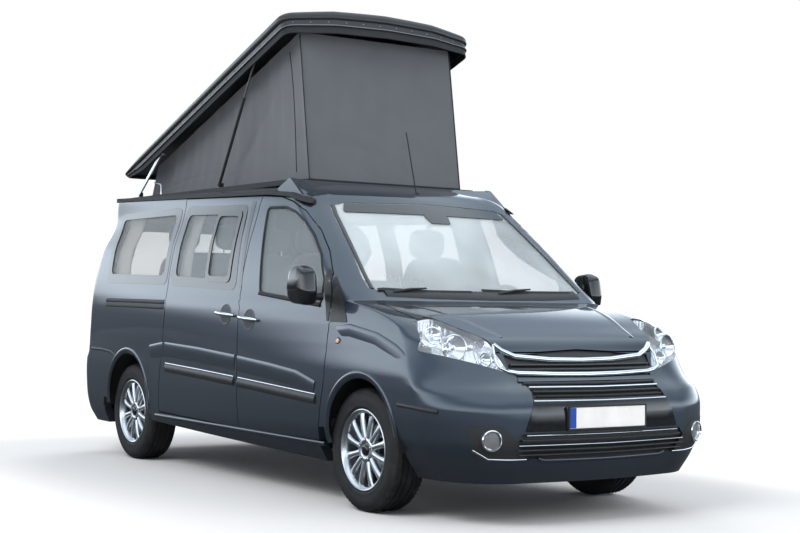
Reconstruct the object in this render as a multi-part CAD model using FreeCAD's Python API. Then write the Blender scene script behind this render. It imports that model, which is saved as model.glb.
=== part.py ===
"""Camper van with a lifting roof: a monocoque van body with hinged doors, bonnet and tailgate, steered front
wheels, and a hard roof shell that swings up at the front on two arms and two gas struts over a fabric tent.

Millimetres, +X forward, +Y left, +Z up.  The origin is on the ground, midway between the bumpers.
The body is one closed envelope, a stack of plan outlines; every panel is cut out of its wall.
"""
import FreeCAD, Part
import math
import os

Vec = FreeCAD.Vector
X_AXIS = Vec(1, 0, 0)
Y_AXIS = Vec(0, 1, 0)
Z_AXIS = Vec(0, 0, 1)
SIDES = (("right", -1), ("left", 1))
HALF_ROOT = math.sqrt(0.5)

# ---- overall sizes ----
length = 4805.0
wheelbase = 3000.0
front_overhang = 962.0
body_width = 1895.0
nose_x = length / 2
tail_x = -length / 2
front_axle_x = nose_x - front_overhang
rear_axle_x = front_axle_x - wheelbase
half_width = body_width / 2
wall = 60.0                    # whole thickness of a door or a body side
shut_gap = 7.0                 # between a moving panel and its frame
seat_gap = 0.3                 # between a shut panel and the flange it closes on
seat_thick = 15.0
seat_wide = 24.0
lean = 0.6                     # how far sloping skins drop for each unit of inset
pin_clearance = 0.08           # radial, a shaft in its bore

# ---- wheels ----
track = 1574.0
tyre_radius = 332.0
tyre_width = 215.0
rim_radius = 212.0             # where the tyre's bead sits
hub_height = 332.0
spokes = 12
kingpin_y = 700.0
axle_radius = 38.0             # the rear axle's beam
well_radius = 404.0
well_depth_y = 470.0           # inner face of a front wheel well
rear_well_y = 640.0            # inner face of a rear wheel well
liner = 6.0
lip_y = half_width - 18.0      # inner face of the arch lips

# ---- floor and sills ----
floor_top = 470.0
floor_thick = 40.0
sill_beam_out = 836.0
sill_beam_in = 740.0
sill_foot = 330.0
sill_flange = 30.0
JACKS_X = (900.0, -1000.0)     # where a jack's pads are, along the sills
jack_y = 760.0
jack_pad = 80.0
jack_drop = 10.0

# ---- openings in the body sides ----
door_top = 1764.0
slide_top = 1786.0             # at the sliding door's rear; its top falls to the front door's
door_bottom = 352.0
door_rear_x = 97.0
slide_rear_x = -925.0
belt = 1180.0

# ---- lifting roof ----
roof_top = 1835.0
seal_top = 1867.0
pivot_x = -1965.0
pivot_z = 1885.0
arm_length = 460.0
arm_rise = 36.5                # the arm's angle with the roof up
shell_tilt = 19.0              # the shell's angle with the roof up
shell_rear = -2145.0           # ends of the shut shell
shell_front = 506.0
shell_half = 719.0
shell_skin = 18.0
arm_y = 676.0
arm_thick = 12.0
arm_pin = 8.0
strut_pin = 5.0
shell_lift = 11.0              # from the seal to the shut shell's rim
strut_y = 676.0
strut_foot = (-697.0, 1886.0)
strut_eye_up = (-192.0, 2717.0)
strut_tube_radius = 11.0
strut_rod_radius = 6.0
strut_tube_length = 640.0
tent_half = 573.0
tent_cloth = 8.0

# ---- plan outlines of the body, from the sill up ----
# z, nose set-back, bow of the nose, half-width of the nose, corner set-back, corner inset,
# side inset, rear inset, tail set-back, tail corner radius, rake of the outline in degrees
SECTIONS = (
    (225, 48, 40, 470, 440, 150, 62, 75, 92, 130, 0),
    (330, 22, 32, 500, 420, 78, 20, 36, 22, 150, 0),
    (440, 5, 30, 535, 417, 30, 6, 18, 2, 160, 0),
    (590, 12, 30, 545, 417, 18, 0, 10, 0, 160, 0),
    (675, 52, 35, 540, 430, 18, 0, 9, 8, 160, 0),
    (735, 140, 26, 505, 480, 20, 0, 10, 50, 150, 0),
    (880, 250, 12, 535, 545, 42, 0, 12, 66, 140, 0),
    (935, 291, 4, 580, 590, 50, 1, 13, 72, 140, 0),
    (1000, 440, 20, 640, 640, 58, 3, 14, 78, 140, 0),
    (1060, 610, 35, 690, 800, 62, 6, 15, 85, 140, 0),
    (1130, 940, 60, 720, 1170, 56, 13, 18, 95, 140, 0),
    (1195, 1035, 60, 745, 1290, 55, 22, 24, 104, 140, 0),
    (1450, 1326, 88, 700, 1590, 98, 62, 64, 150, 135, 0),
    (1705, 1632, 110, 640, 1900, 160, 137, 145, 225, 130, 0),
    (1790, 1745, 90, 560, 2060, 200, 160, 150, 250, 110, 1.3),
    (1835, 1900, 80, 480, 2200, 290, 262, 262, 330, 90, 0.5),
)
rake_pivot_x = 500.0


def arc(a, mid, b):
    return Part.Arc(a, mid, b).toShape()


def quarter(start, end, centre):
    """A corner from start to end, bulging away from centre."""
    mid = centre + (start - centre) * HALF_ROOT + (end - centre) * HALF_ROOT
    return arc(start, mid, end)


def outline(section, inset):
    """One plan outline of the body, drawn in by inset."""
    z, nose, bow, nose_half, corner_back, corner_in, side_in, rear_in, tail, tail_r, rake = section
    front = Vec(nose_x - nose - inset, 0, z)
    edge = Vec(front.x - bow, nose_half - inset * 0.3, z)
    corner = Vec(nose_x - corner_back - inset * 0.4, half_width - corner_in - inset, z)
    rear_y = half_width - rear_in - inset
    side = Vec(0.5 * (corner.x + tail_x), half_width - side_in - inset, z)
    rear = Vec(tail_x + tail + tail_r, rear_y, z)
    end = Vec(tail_x + tail + inset, rear_y + inset - tail_r, z)

    def other(p):
        return Vec(p.x, -p.y, p.z)

    tail_centre = Vec(rear.x, end.y, z)
    nose_centre = Vec(corner.x, edge.y, z)
    edges = [
        arc(other(edge), front, edge),
        quarter(edge, corner, nose_centre),
        arc(corner, side, rear),
        quarter(rear, end, tail_centre),
        Part.makeLine(end, other(end)),
        quarter(other(end), other(rear), other(tail_centre)),
        arc(other(rear), other(side), other(corner)),
        quarter(other(corner), other(edge), other(nose_centre)),
    ]
    wire = Part.Wire(edges)
    wire.rotate(Vec(rake_pivot_x, 0, z), Y_AXIS, rake)
    return wire


def envelope(inset, drop):
    """The body's outer form drawn in by inset, its bonnet, glass and roof lowered by drop."""
    wires = []
    for section in SECTIONS:
        lowered = drop if section[0] > 900 else 0
        wire = outline(section, inset)
        wire.translate(Vec(0, 0, -lowered))
        wires.append(wire)
    return Part.makeLoft(wires, True, True)


def box(x0, x1, y0, y1, z0, z1):
    return Part.makeBox(x1 - x0, y1 - y0, z1 - z0, Vec(x0, y0, z0))


def rounded_face(points, radius, place):
    """A polygon with rounded corners; place turns a pair of numbers into a point in space."""
    corners = [place(*p) for p in points]
    edges = []
    starts = []
    for i, p in enumerate(corners):
        before = (corners[i - 1] - p)
        after = (corners[(i + 1) % len(corners)] - p)
        half_turn = before.getAngle(after) / 2
        reach = min(radius / math.tan(half_turn), before.Length * 0.45, after.Length * 0.45)
        u = Vec(before).normalize()
        w = Vec(after).normalize()
        a = p + u * reach
        b = p + w * reach
        bisector = (u + w).normalize()
        r = reach * math.tan(half_turn)
        mid = p + bisector * (math.hypot(r, reach) - r)
        starts.append((a, mid, b))
    for i, (a, mid, b) in enumerate(starts):
        edges.append(arc(a, mid, b))
        following = starts[(i + 1) % len(starts)][0]
        edges.append(Part.makeLine(b, following))
    return Part.Face(Part.Wire(edges))


def side_prism(points, y0, y1, radius=0.0):
    """A side-view outline (x, z) extruded across the body from y0 to y1."""
    def place(x, z):
        return Vec(x, y0, z)
    if radius:
        face = rounded_face(points, radius, place)
    else:
        face = Part.Face(Part.makePolygon([place(*p) for p in list(points) + [points[0]]]))
    return face.extrude(Vec(0, y1 - y0, 0))


def front_prism(points, x0, x1, radius=0.0):
    """A front-view outline (y, z) extruded along the body from x0 to x1."""
    def place(y, z):
        return Vec(x0, y, z)
    if radius:
        face = rounded_face(points, radius, place)
    else:
        face = Part.Face(Part.makePolygon([place(*p) for p in list(points) + [points[0]]]))
    return face.extrude(Vec(x1 - x0, 0, 0))


def plan_prism(points, z0, z1, radius=0.0):
    """A plan outline (x, y) extruded up from z0 to z1."""
    def place(x, y):
        return Vec(x, y, z0)
    if radius:
        face = rounded_face(points, radius, place)
    else:
        face = Part.Face(Part.makePolygon([place(*p) for p in list(points) + [points[0]]]))
    return face.extrude(Vec(0, 0, z1 - z0))


def grown(points, gap):
    """The polygon with each side moved outwards by gap."""
    count = len(points)
    area = sum(points[i - 1][0] * points[i][1] - points[i][0] * points[i - 1][1] for i in range(count))
    turn = 1 if area > 0 else -1
    moved = []
    for i, (a, b) in enumerate(points):
        before = points[i - 1]
        after = points[(i + 1) % count]
        len_1 = math.hypot(a - before[0], b - before[1])
        len_2 = math.hypot(after[0] - a, after[1] - b)
        n1 = (turn * (b - before[1]) / len_1, -turn * (a - before[0]) / len_1)
        n2 = (turn * (after[1] - b) / len_2, -turn * (after[0] - a) / len_2)
        scale = gap / (1 + n1[0] * n2[0] + n1[1] * n2[1])
        moved.append((a + (n1[0] + n2[0]) * scale, b + (n1[1] + n2[1]) * scale))
    return moved


def mirrored(points, flip=(-1, 1)):
    """An outline given from the centre line out, completed by its reflection."""
    reflection = [(a * flip[0], b * flip[1]) for a, b in reversed(points[1:-1])]
    return list(points) + reflection


def span(sign, y_in, y_out):
    """The y range of one side of the body, lowest first."""
    return (y_in, y_out) if sign > 0 else (-y_out, -y_in)


def rod(radius, start, end):
    axis = end - start
    return Part.makeCylinder(radius, axis.Length, start, axis)


def reflect(shape):
    return shape.mirror(Vec(0, 0, 0), Y_AXIS)


def both_sides(shape):
    """A right-hand piece and its mirror image, as one compound."""
    return Part.makeCompound([shape, reflect(shape)])


def fused(pieces):
    return pieces[0].multiFuse(pieces[1:]).removeSplitter() if len(pieces) > 1 else pieces[0]


# ---- side-view outlines (x, z) ----
FRONT_DOOR = (
    (door_rear_x + 20, door_bottom), (1035, door_bottom), (1053, 437), (1085, 578), (1112, 700),
    (1117, 860), (1117, 1180), (1096, 1280), (1028, 1350), (966, 1411), (816, 1537), (636, 1652),
    (482, 1712), (321, 1748), (door_rear_x - 6, door_top), (door_rear_x, belt),
)
FRONT_GLASS = (
    (325, 1172), (560, 1150), (1010, 1108), (1028, 1245), (940, 1388), (806, 1508), (682, 1592),
    (545, 1652), (415, 1686), (205, 1692),
)
SLIDING_DOOR = (
    (door_rear_x + 20 - shut_gap, door_bottom), (door_rear_x - shut_gap, belt),
    (door_rear_x - 6 - shut_gap, door_top), (slide_rear_x, slide_top), (slide_rear_x, belt), (slide_rear_x - 4, 1067),
    (slide_rear_x - 22, 830), (slide_rear_x - 48, 700), (-1003, 520), (-1008, door_bottom + 20),
)
SLIDING_GLASS = ((-896, 1212), (26, 1182), (-50, 1722), (-902, 1745))
REAR_GLASS = ((-1962, 1232), (-960, 1218), (-963, 1740), (-1985, 1732))
HOUSE_TOP = 1760.0             # the sides end and the roof panel begins
SILL_LINE = ((1175, 228), (-1150, 300))

# ---- front-view outlines (y, z) ----
HEADLAMP = ((499, 772), (570, 935), (700, 1040), (822, 1056), (885, 880))
GRILLE_HALF = ((0, 650), (452, 650), (440, 700), (470, 760), (500, 800), (500, 862), (0, 885))
LOWER_GRILLE_HALF = ((0, 346), (560, 352), (600, 400), (540, 478), (0, 489))
FOG = (660, 436)
FOG_RADIUS = 52.0
SCREEN_HALF = ((0, 1160), (700, 1184), (768, 1205), (650, 1688), (560, 1712), (0, 1724))
TAILGATE_HALF = ((0, 745), (790, 745), (795, 1160), (700, 1752), (0, 1752))
TAIL_GLASS_HALF = ((0, 1200), (690, 1200), (610, 1680), (0, 1690))

# ---- plan outline of the bonnet, one half (x, y) ----
BONNET_HALF = ((2170, 0), (2165, 420), (2140, 570), (1990, 700), (1850, 790), (1640, 806), (1395, 778),
               (1440, 500), (1470, 0))

BONNET = mirrored(BONNET_HALF, (1, -1))

outer = envelope(0.0, 0.0)
shell = outer.cut(envelope(wall, wall * lean))
frame_wall = wall + seat_gap
cabin = envelope(frame_wall, frame_wall * lean)
frame_shell = outer.cut(cabin)
seat_layer = cabin.cut(envelope(frame_wall + seat_thick, (frame_wall + seat_thick) * lean))
glass_skin = envelope(4.0, 3.0).cut(envelope(12.0, 9.0))
parts = {}


def seat_ring(wide_zone, narrow_zone):
    """The flange that a shut panel closes on, all round its opening."""
    return seat_layer.common(wide_zone).cut(narrow_zone)


def wheel_space(x, sign, depth_in, radius):
    """The room that a wheel needs inside the body."""
    y0, y1 = span(sign, depth_in, lip_y)
    drum = Part.makeCylinder(radius, y1 - y0, Vec(x, y0, hub_height), Y_AXIS)
    skirt = box(x - radius, x + radius, y0, y1, 0, hub_height)
    return drum.fuse(skirt)


def arch_opening(x, z, radius, sign):
    """The hole in the outer skin over a wheel."""
    y0, y1 = span(sign, 600, 1100)
    drum = Part.makeCylinder(radius, y1 - y0, Vec(x, y0, z), Y_AXIS)
    skirt = box(x - radius, x + radius, y0, y1, 0, z)
    return drum.fuse(skirt)


front_arch_x = front_axle_x + 32
front_arch_z = 405.0
front_arch_radius = 331.0
rear_arch_x = rear_axle_x + 30
rear_arch_z = 412.0
rear_arch_radius = 345.0

wells = []
for side_name, sign in SIDES:
    wells.append(wheel_space(front_axle_x, sign, well_depth_y, well_radius + liner))
    wells.append(arch_opening(front_arch_x, front_arch_z, front_arch_radius, sign))
    wells.append(wheel_space(rear_axle_x, sign, rear_well_y, well_radius + liner))
    wells.append(arch_opening(rear_arch_x, rear_arch_z, rear_arch_radius, sign))
well_space = Part.makeCompound(wells)

# ---- front bumper, lamps and grilles ----
lamp_rear_x = 1806.0           # the rear tips of the headlamps
bonnet_swing = 30.0            # the bonnet comes forward by this much as it opens
BUMPER_EDGE = ((1795, 200), (1795, 560), (1852, 640), (1862, 872), (1905, 905), (2255, 812), (2500, 800))
BUMPER = BUMPER_EDGE + ((2500, 200),)
DOOR_FRONT_EDGE = [(x + shut_gap, z) for x, z in FRONT_DOOR[1:7]]
WINGS = BUMPER_EDGE + ((2500, 1300), (DOOR_FRONT_EDGE[-1][0], 1300)) + tuple(
    reversed(DOOR_FRONT_EDGE)) + ((1042, 200),)
bumper_zone = side_prism(BUMPER, -1000, 1000)
headlamp_zone = front_prism(HEADLAMP, lamp_rear_x, 2400, 14)
headlamp_zones = headlamp_zone.fuse(reflect(headlamp_zone))
headlamp_hole = front_prism(grown(HEADLAMP, shut_gap), lamp_rear_x - bonnet_swing, 2400)
headlamp_room = headlamp_hole.fuse(reflect(headlamp_hole))
grille_room = front_prism(grown(mirrored(GRILLE_HALF), shut_gap), 2080, 2500)
grille_zone = front_prism(mirrored(GRILLE_HALF), 2080, 2500)
lower_zone = front_prism(mirrored(LOWER_GRILLE_HALF), 2150, 2500)
bonnet_zone = plan_prism(BONNET, 880, 1250)
bonnet_hole = plan_prism(grown(BONNET, shut_gap), 880 - shut_gap, 1250)
bonnet_seat = seat_ring(plan_prism(grown(BONNET, seat_wide), 840, 1250),
                        plan_prism(grown(BONNET, -seat_wide), 700, 1400))
fog_zones = []
for side_name, sign in SIDES:
    fog_zones.append(Part.makeCylinder(FOG_RADIUS, 500, Vec(2000, sign * FOG[0], FOG[1]), X_AXIS))
fog_zone = fog_zones[0].fuse(fog_zones[1])

bumper = frame_shell.common(bumper_zone).cut(grille_zone).cut(lower_zone).cut(headlamp_zones)
bumper = bumper.cut(fog_zone).cut(well_space).cut(bonnet_hole)
parts["front_bumper"] = bumper

thin_skin = envelope(14.0, 4.0).cut(envelope(40.0, 14.0))
parts["grille"] = Part.makeCompound([thin_skin.common(grille_zone), thin_skin.common(lower_zone)])
lamp_skin = envelope(1.0, 1.0).cut(envelope(40.0, 24.0))
parts["headlamps"] = lamp_skin.common(headlamp_zones)
parts["fog_lamps"] = thin_skin.common(fog_zone)

# ---- bonnet and front wings ----
parts["bonnet"] = shell.common(bonnet_zone).cut(grille_room).cut(headlamp_room)
cowl_split = box(1000, 2500, -1000, 1000, 1130, 1300)
wings = frame_shell.common(side_prism(WINGS, -1000, 1000)).cut(bonnet_hole).cut(cowl_split)
bonnet_seat = bonnet_seat.cut(grille_zone).cut(headlamp_zones)
wings = wings.cut(headlamp_zones).cut(grille_zone).cut(well_space)
parts["front_wings"] = fused([wings, bonnet_seat])

# ---- windscreen and its surround ----
door_holes = both_sides(side_prism(grown(FRONT_DOOR, shut_gap), -1100, -500))
screen_zone = front_prism(mirrored(SCREEN_HALF), 560, 1600)
SURROUND = ((1110, 1130), (1500, 1130), (1500, 1800), (585, 1800), (585, 1716), (604, 1719), (774, 1611),
            (942, 1473), (1006, 1371), (1106, 1281), (1123, 1180))
surround = frame_shell.common(side_prism(SURROUND, -1000, 1000))
surround = surround.cut(bonnet_hole).cut(screen_zone).cut(box(0, 1600, -1000, 1000, HOUSE_TOP, 2000))
surround = surround.cut(door_holes)
parts["windscreen_surround"] = max(surround.Solids, key=lambda s: s.Volume)
screen = glass_skin.common(screen_zone).cut(box(0, 1600, -1000, 1000, HOUSE_TOP, 2000)).cut(door_holes)
parts["windscreen"] = max(screen.Solids, key=lambda s: s.Volume)

# ---- tailgate, rear bumper and lamps ----
tailgate_zone = front_prism(mirrored(TAILGATE_HALF), -2500, -1900)
tailgate_hole = front_prism(grown(mirrored(TAILGATE_HALF), shut_gap), -2500, -1900)
tail_glass_zone = front_prism(mirrored(TAIL_GLASS_HALF), -2500, -1900)
rear_slab = box(-2500, -1980, -1000, 1000, 600, HOUSE_TOP)
parts["tailgate"] = shell.common(tailgate_zone).common(rear_slab).cut(tail_glass_zone)
parts["tailgate_glass"] = glass_skin.common(tail_glass_zone)
REAR_BUMPER = ((-2500, 200), (-1780, 200), (-1700, 640), (-1716, 696), (-1830, 728), (-2215, 742), (-2500, 742))
bumper_rear_zone = side_prism(REAR_BUMPER, -1000, 1000)
tailgate_seat = seat_ring(front_prism(grown(mirrored(TAILGATE_HALF), seat_wide), -2500, -2000),
                          front_prism(grown(mirrored(TAILGATE_HALF), -seat_wide), -2500, -1900))
parts["tailgate_frame"] = max(tailgate_seat.Solids, key=lambda s: s.Volume)
parts["rear_bumper"] = frame_shell.common(bumper_rear_zone).cut(tailgate_hole).cut(well_space)
tail_lamp_zone = box(-2500, -2230, 806, 1000, 770, 1150)
tail_lamp_zones = tail_lamp_zone.fuse(reflect(tail_lamp_zone))
parts["tail_lamps"] = lamp_skin.common(tail_lamp_zones)

# ---- body sides and their doors ----
under_roof = box(-2600, 1500, -716, 716, 1500, 2000)
door_swing = box(540, 1200, -1100, 1100, 1130, 1800)     # the door's front edge swings back through this
over_tailgate = box(-2600, -2000, -712, 712, 1752, 2000)
chip_volume = 20000.0
for side_name, sign in SIDES:
    y0, y1 = span(sign, 500, 1100)
    door_zone = side_prism(FRONT_DOOR, y0, y1)
    door_hole = side_prism(grown(FRONT_DOOR, shut_gap), y0, y1)
    window = side_prism(FRONT_GLASS, y0, y1, 30)
    parts["front_door_" + side_name] = shell.common(door_zone).cut(window)
    parts["front_door_glass_" + side_name] = glass_skin.common(window)
    half = box(-2500, 2500, y0, y1, 200, HOUSE_TOP)
    side = frame_shell.common(half).common(side_prism(((-2500, 330), SILL_LINE[1], SILL_LINE[0], (1175, 1800),
                                                 (-2500, 1800)), y0, y1))
    side = side.cut(side_prism(WINGS, y0, y1)).cut(side_prism(SURROUND, y0, y1))
    side = side.cut(box(1030, 2500, y0, y1, 200, 1800).fuse(box(585, 2500, y0, y1, 1100, 1800)))
    side = side.cut(door_hole).cut(tailgate_hole).cut(bumper_rear_zone)
    side = side.cut(tail_lamp_zones).cut(well_space).cut(over_tailgate)
    door_seat = seat_ring(side_prism(grown(FRONT_DOOR, seat_wide), y0, y1),
                          side_prism(grown(FRONT_DOOR, -seat_wide), y0, y1))
    seats = [door_seat.cut(door_swing)]
    slide_window = side_prism(SLIDING_GLASS, y0, y1, 70)
    rear_window = side_prism(REAR_GLASS, y0, y1, 70)
    side = side.cut(rear_window)
    if side_name == "right":
        slide_zone = side_prism(SLIDING_DOOR, y0, y1)
        slide_hole = side_prism(grown(SLIDING_DOOR, shut_gap), y0, y1)
        parts["sliding_door"] = shell.common(slide_zone).cut(slide_window).cut(well_space)
        parts["sliding_door_glass"] = glass_skin.common(slide_window)
        side = side.cut(slide_hole)
        seats.append(seat_ring(side_prism(grown(SLIDING_DOOR, seat_wide), y0, y1),
                               side_prism(grown(SLIDING_DOOR, -seat_wide), y0, y1)))
        panes = [glass_skin.common(rear_window)]
    else:
        side = side.cut(slide_window)
        panes += [glass_skin.common(rear_window), glass_skin.common(slide_window)]
    flange_y = span(sign, sill_beam_in - 40, 905)
    flange = box(-1130, 1000, flange_y[0], flange_y[1], sill_foot - sill_flange, sill_foot)
    seats = [seat.cut(well_space).cut(slide_window).cut(under_roof) for seat in seats]
    pad_y = span(sign, jack_y - jack_pad / 2, jack_y + jack_pad / 2)
    seats += [box(x - jack_pad / 2, x + jack_pad / 2, *pad_y, sill_foot - sill_flange - jack_drop,
                  sill_foot - sill_flange) for x in JACKS_X]
    side = fused([side, flange.common(envelope(2.0, 0.0))] + seats)
    parts["body_side_" + side_name] = Part.makeCompound([s for s in side.Solids if s.Volume > chip_volume])
parts["side_glass"] = Part.makeCompound(panes)

# ---- roof panel with its hatch ----
hatch = plan_prism(((-1950, -540), (205, -540), (205, 540), (-1950, 540)), 1700, 1900, 12)
roof = frame_shell.common(box(-2500, 1500, -1000, 1000, HOUSE_TOP, 2000)).cut(hatch)
slide_hole = side_prism(grown(SLIDING_DOOR, shut_gap), -1100, -500)
roof = roof.cut(door_holes).cut(slide_hole)
parts["roof_panel"] = max(roof.Solids, key=lambda s: s.Volume)
seal_out = plan_prism(((-2120, -690), (330, -690), (330, 690), (-2120, 690)), roof_top, seal_top, 60)
roof_seal = seal_out.cut(hatch)


# ---- roof rails and the fairing ahead of the shell ----
# |y| of a rib, then its outline (x, z): foot and top of the back edge, the dished top, the lip and its underside
FAIRING_RIBS = (
    (0, (390, 1790), (390, 1856), (450, 1824), (540, 1786), (620, 1755), (676, 1740), (698, 1722), (640, 1680)),
    (400, (390, 1790), (390, 1856), (450, 1824), (536, 1786), (612, 1754), (664, 1738), (684, 1720), (630, 1680)),
    (620, (389, 1790), (389, 1857), (450, 1825), (526, 1786), (592, 1752), (642, 1730), (660, 1712), (600, 1670)),
    (700, (386, 1780), (386, 1861), (425, 1840), (500, 1794), (560, 1752), (612, 1718), (628, 1702), (560, 1660)),
    (741, (383, 1770), (383, 1866), (400, 1858), (470, 1806), (535, 1756), (590, 1712), (604, 1696), (540, 1650)),
)
FIN = ((238, 1806), (383, 1866), (400, 1858), (470, 1806), (535, 1756), (604, 1696), (540, 1650), (300, 1740))
fin_y = (724.0, 758.0)
ribs = [(-y, points) for y, *points in reversed(FAIRING_RIBS)] + [(y, points) for y, *points in FAIRING_RIBS[1:]]
rib_wires = []
for y, points in ribs:
    corners = [Vec(x, y, z) for x, z in points]
    rib_wires.append(Part.makePolygon(corners + corners[:1]))
fairing = fused([Part.makeLoft(rib_wires, True, True), side_prism(FIN, *fin_y), side_prism(FIN, -fin_y[1], -fin_y[0])])
fairing = fairing.cut(outer)
parts["roof_fairing"] = max(fairing.Solids, key=lambda s: s.Volume)
rail_line = ((-2150, 1828), (-914, 1800), (174, 1773), (430, 1750), (640, 1700))
rail_height = 26.0
rail = side_prism(rail_line + tuple((x, z + rail_height) for x, z in reversed(rail_line)), -818, -720)
rail = rail.common(envelope(-14.0, -9.0)).cut(outer)
rail = rail.cut(parts["roof_fairing"]).cut(door_holes).cut(slide_hole)
parts["roof_rails"] = both_sides(max(rail.Solids, key=lambda s: s.Volume))

# ---- lifting roof: shell, arms, gas struts and tent ----
arm_up = math.radians(arm_rise)
tilt_up = math.radians(shell_tilt)
shut_hinge = Vec(pivot_x + arm_length, 0, pivot_z)
raised_hinge = Vec(pivot_x + arm_length * math.cos(arm_up), 0, pivot_z + arm_length * math.sin(arm_up))
rim_z = seal_top + shell_lift


def lifted(shape):
    """A piece of the shut shell, carried to where it is with the roof up."""
    moved = shape.copy()
    moved.rotate(shut_hinge, Y_AXIS, -shell_tilt)
    moved.translate(raised_hinge - shut_hinge)
    return moved


# x, half-width, height of the side, height of the crown above the rim
SHELL_RIBS = (
    (shell_rear, 704, 100, 122),
    (shell_rear + 300, shell_half, 112, 150),
    (shell_rear + 1700, shell_half, 128, 172),
    (shell_front, shell_half, 134, 160),
)


def shell_form(skin):
    """The shut shell's outer form, drawn in by skin."""
    wires = []
    for x, half, side, crown in SHELL_RIBS:
        half -= skin
        low = rim_z if skin == 0 else rim_z - 20
        foot = Vec(x, half, low)
        top = Vec(x, half - 16, rim_z + side - skin)
        ridge = Vec(x, 0, rim_z + crown - skin)
        top_r = Vec(x, -top.y, top.z)
        foot_r = Vec(x, -half, low)
        wires.append(Part.Wire([Part.makeLine(foot, top), arc(top, ridge, top_r),
                                Part.makeLine(top_r, foot_r), Part.makeLine(foot_r, foot)]))
    form = Part.makeLoft(wires, True, True)
    nose = shell_front - skin
    tail = shell_rear + skin
    plan = ((tail, -shell_half), (nose - 86, -shell_half), (nose - 18, -380), (nose, 0), (nose - 18, 380),
            (nose - 86, shell_half), (tail, shell_half))
    bevel = side_prism(((shell_rear - 10, rim_z - 60), (shell_rear + 270, rim_z - 60), (shell_rear + 250, rim_z),
                        (shell_rear - 10, rim_z + 84)), -shell_half - 5, shell_half + 5)
    return form.common(plan_prism(plan, rim_z - 40, rim_z + 300, 90)).cut(bevel)


def plate(centre, half_long, low, high, y0, y1):
    """A small upright plate that carries a pin at centre."""
    return box(centre.x - half_long, centre.x + half_long, y0, y1, low, high)


def pin_bore(centre, radius, y0, y1):
    return Part.makeCylinder(radius, y1 - y0, Vec(centre.x, y0, centre.z), Y_AXIS)


def turned(point, centre, degrees):
    """The point swung about a line along Y through centre; positive lowers what lies ahead of it."""
    angle = math.radians(degrees)
    dx = point.x - centre.x
    dz = point.z - centre.z
    return Vec(centre.x + dx * math.cos(angle) + dz * math.sin(angle), point.y,
               centre.z - dx * math.sin(angle) + dz * math.cos(angle))


pivot = Vec(pivot_x, 0, pivot_z)
foot = Vec(strut_foot[0], 0, strut_foot[1])
eye = Vec(strut_eye_up[0], 0, strut_eye_up[1])
eye_shut = turned(eye + shut_hinge - raised_hinge, shut_hinge, shell_tilt)
shell_inside = shell_half - shell_skin
shell_body = shell_form(0.0).cut(shell_form(shell_skin))
shell_pieces = [shell_body]
arm_pieces = []
seal_pieces = [roof_seal.cut(roof)]
tubes = []
rods = []
along = (eye - foot).normalize()
shell_room = shell_form(shell_skin - 2)
for side_name, sign in SIDES:
    y0, y1 = span(sign, arm_y - 18, arm_y - 6)
    ear = plate(shut_hinge, 26, pivot_z - 12, rim_z + 160, y0, y1)
    ear = ear.common(shell_room.fuse(box(-2200, 600, -800, 800, rim_z - 20, rim_z + 10)))
    shell_pieces.append(ear.cut(pin_bore(shut_hinge, arm_pin + pin_clearance, y0, y1)).cut(shell_body))
    y0, y1 = span(sign, strut_y + 6 + seat_gap, shell_inside + 2)
    shell_pieces.append(pin_bore(eye_shut, 9, y0, y1).cut(shell_body))

    y0, y1 = span(sign, arm_y, arm_y + arm_thick)
    arm = side_prism(((pivot_x - 14, pivot_z - 12), (shut_hinge.x + 14, pivot_z - 12),
                      (shut_hinge.x + 14, pivot_z + 14), (pivot_x - 14, pivot_z + 14)), y0, y1, 10)
    y0, y1 = span(sign, arm_y - 20, arm_y + arm_thick)
    arm = fused([arm, pin_bore(shut_hinge, arm_pin, y0, y1), pin_bore(pivot, arm_pin, y0, y1)])
    arm.rotate(pivot, Y_AXIS, -arm_rise)
    arm_pieces.append(arm)
    y0, y1 = span(sign, arm_y - 18, arm_y - 6)
    lug = plate(pivot, 18, seal_top, pivot_z + 15, y0, y1)
    seal_pieces.append(lug.cut(pin_bore(pivot, arm_pin + pin_clearance, y0, y1)))

    at = Vec(0, sign * strut_y, 0)
    tube = rod(strut_tube_radius, foot + at + along * 8, foot + at + along * strut_tube_length)
    bore = rod(strut_rod_radius + pin_clearance, foot + at + along * 40,
               foot + at + along * (strut_tube_length + 5))
    y0, y1 = span(sign, strut_y - 7, strut_y + 7)
    foot_bore = pin_bore(foot, strut_pin + pin_clearance, y0, y1)
    tubes.append(tube.fuse(pin_bore(foot, 14, y0, y1)).cut(bore).cut(foot_bore))
    stem = rod(strut_rod_radius, foot + at + along * 330, eye + at - along * 8)
    rods.append(stem.fuse(pin_bore(eye, 11, *span(sign, strut_y - 6, strut_y + 6))))
    y0, y1 = span(sign, strut_y - 26, strut_y - 13)
    lug = plate(foot, 15, seal_top, foot.z + 12, y0, y1)
    seal_pieces.append(lug.fuse(pin_bore(foot, strut_pin, *span(sign, strut_y - 26, strut_y + 10))))
parts["roof_seal"] = Part.makeCompound(seal_pieces)
roof_shell = lifted(Part.makeCompound(shell_pieces))
parts["roof_shell"] = roof_shell
parts["roof_arms"] = Part.makeCompound(arm_pieces)
parts["strut_tubes"] = Part.makeCompound(tubes)
parts["strut_rods"] = Part.makeCompound(rods)

TENT = ((305, seal_top + seat_gap), (145, 2900), (-1640, 2400), (-1990, seal_top + seat_gap))
TENT_INSIDE = ((305 - tent_cloth, seal_top - 40), (145 - tent_cloth, 2950), (-1640 + tent_cloth, 2450),
               (-1990 + tent_cloth, seal_top - 40))
tent = side_prism(TENT, -tent_half, tent_half)
tent = tent.cut(side_prism(TENT_INSIDE, -tent_half + tent_cloth, tent_half - tent_cloth))
above_rim = box(-2600, 900, -900, 900, rim_z - 10, 2600).cut(shell_form(shell_skin + seat_gap))
parts["tent"] = tent.cut(lifted(above_rim))

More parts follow.
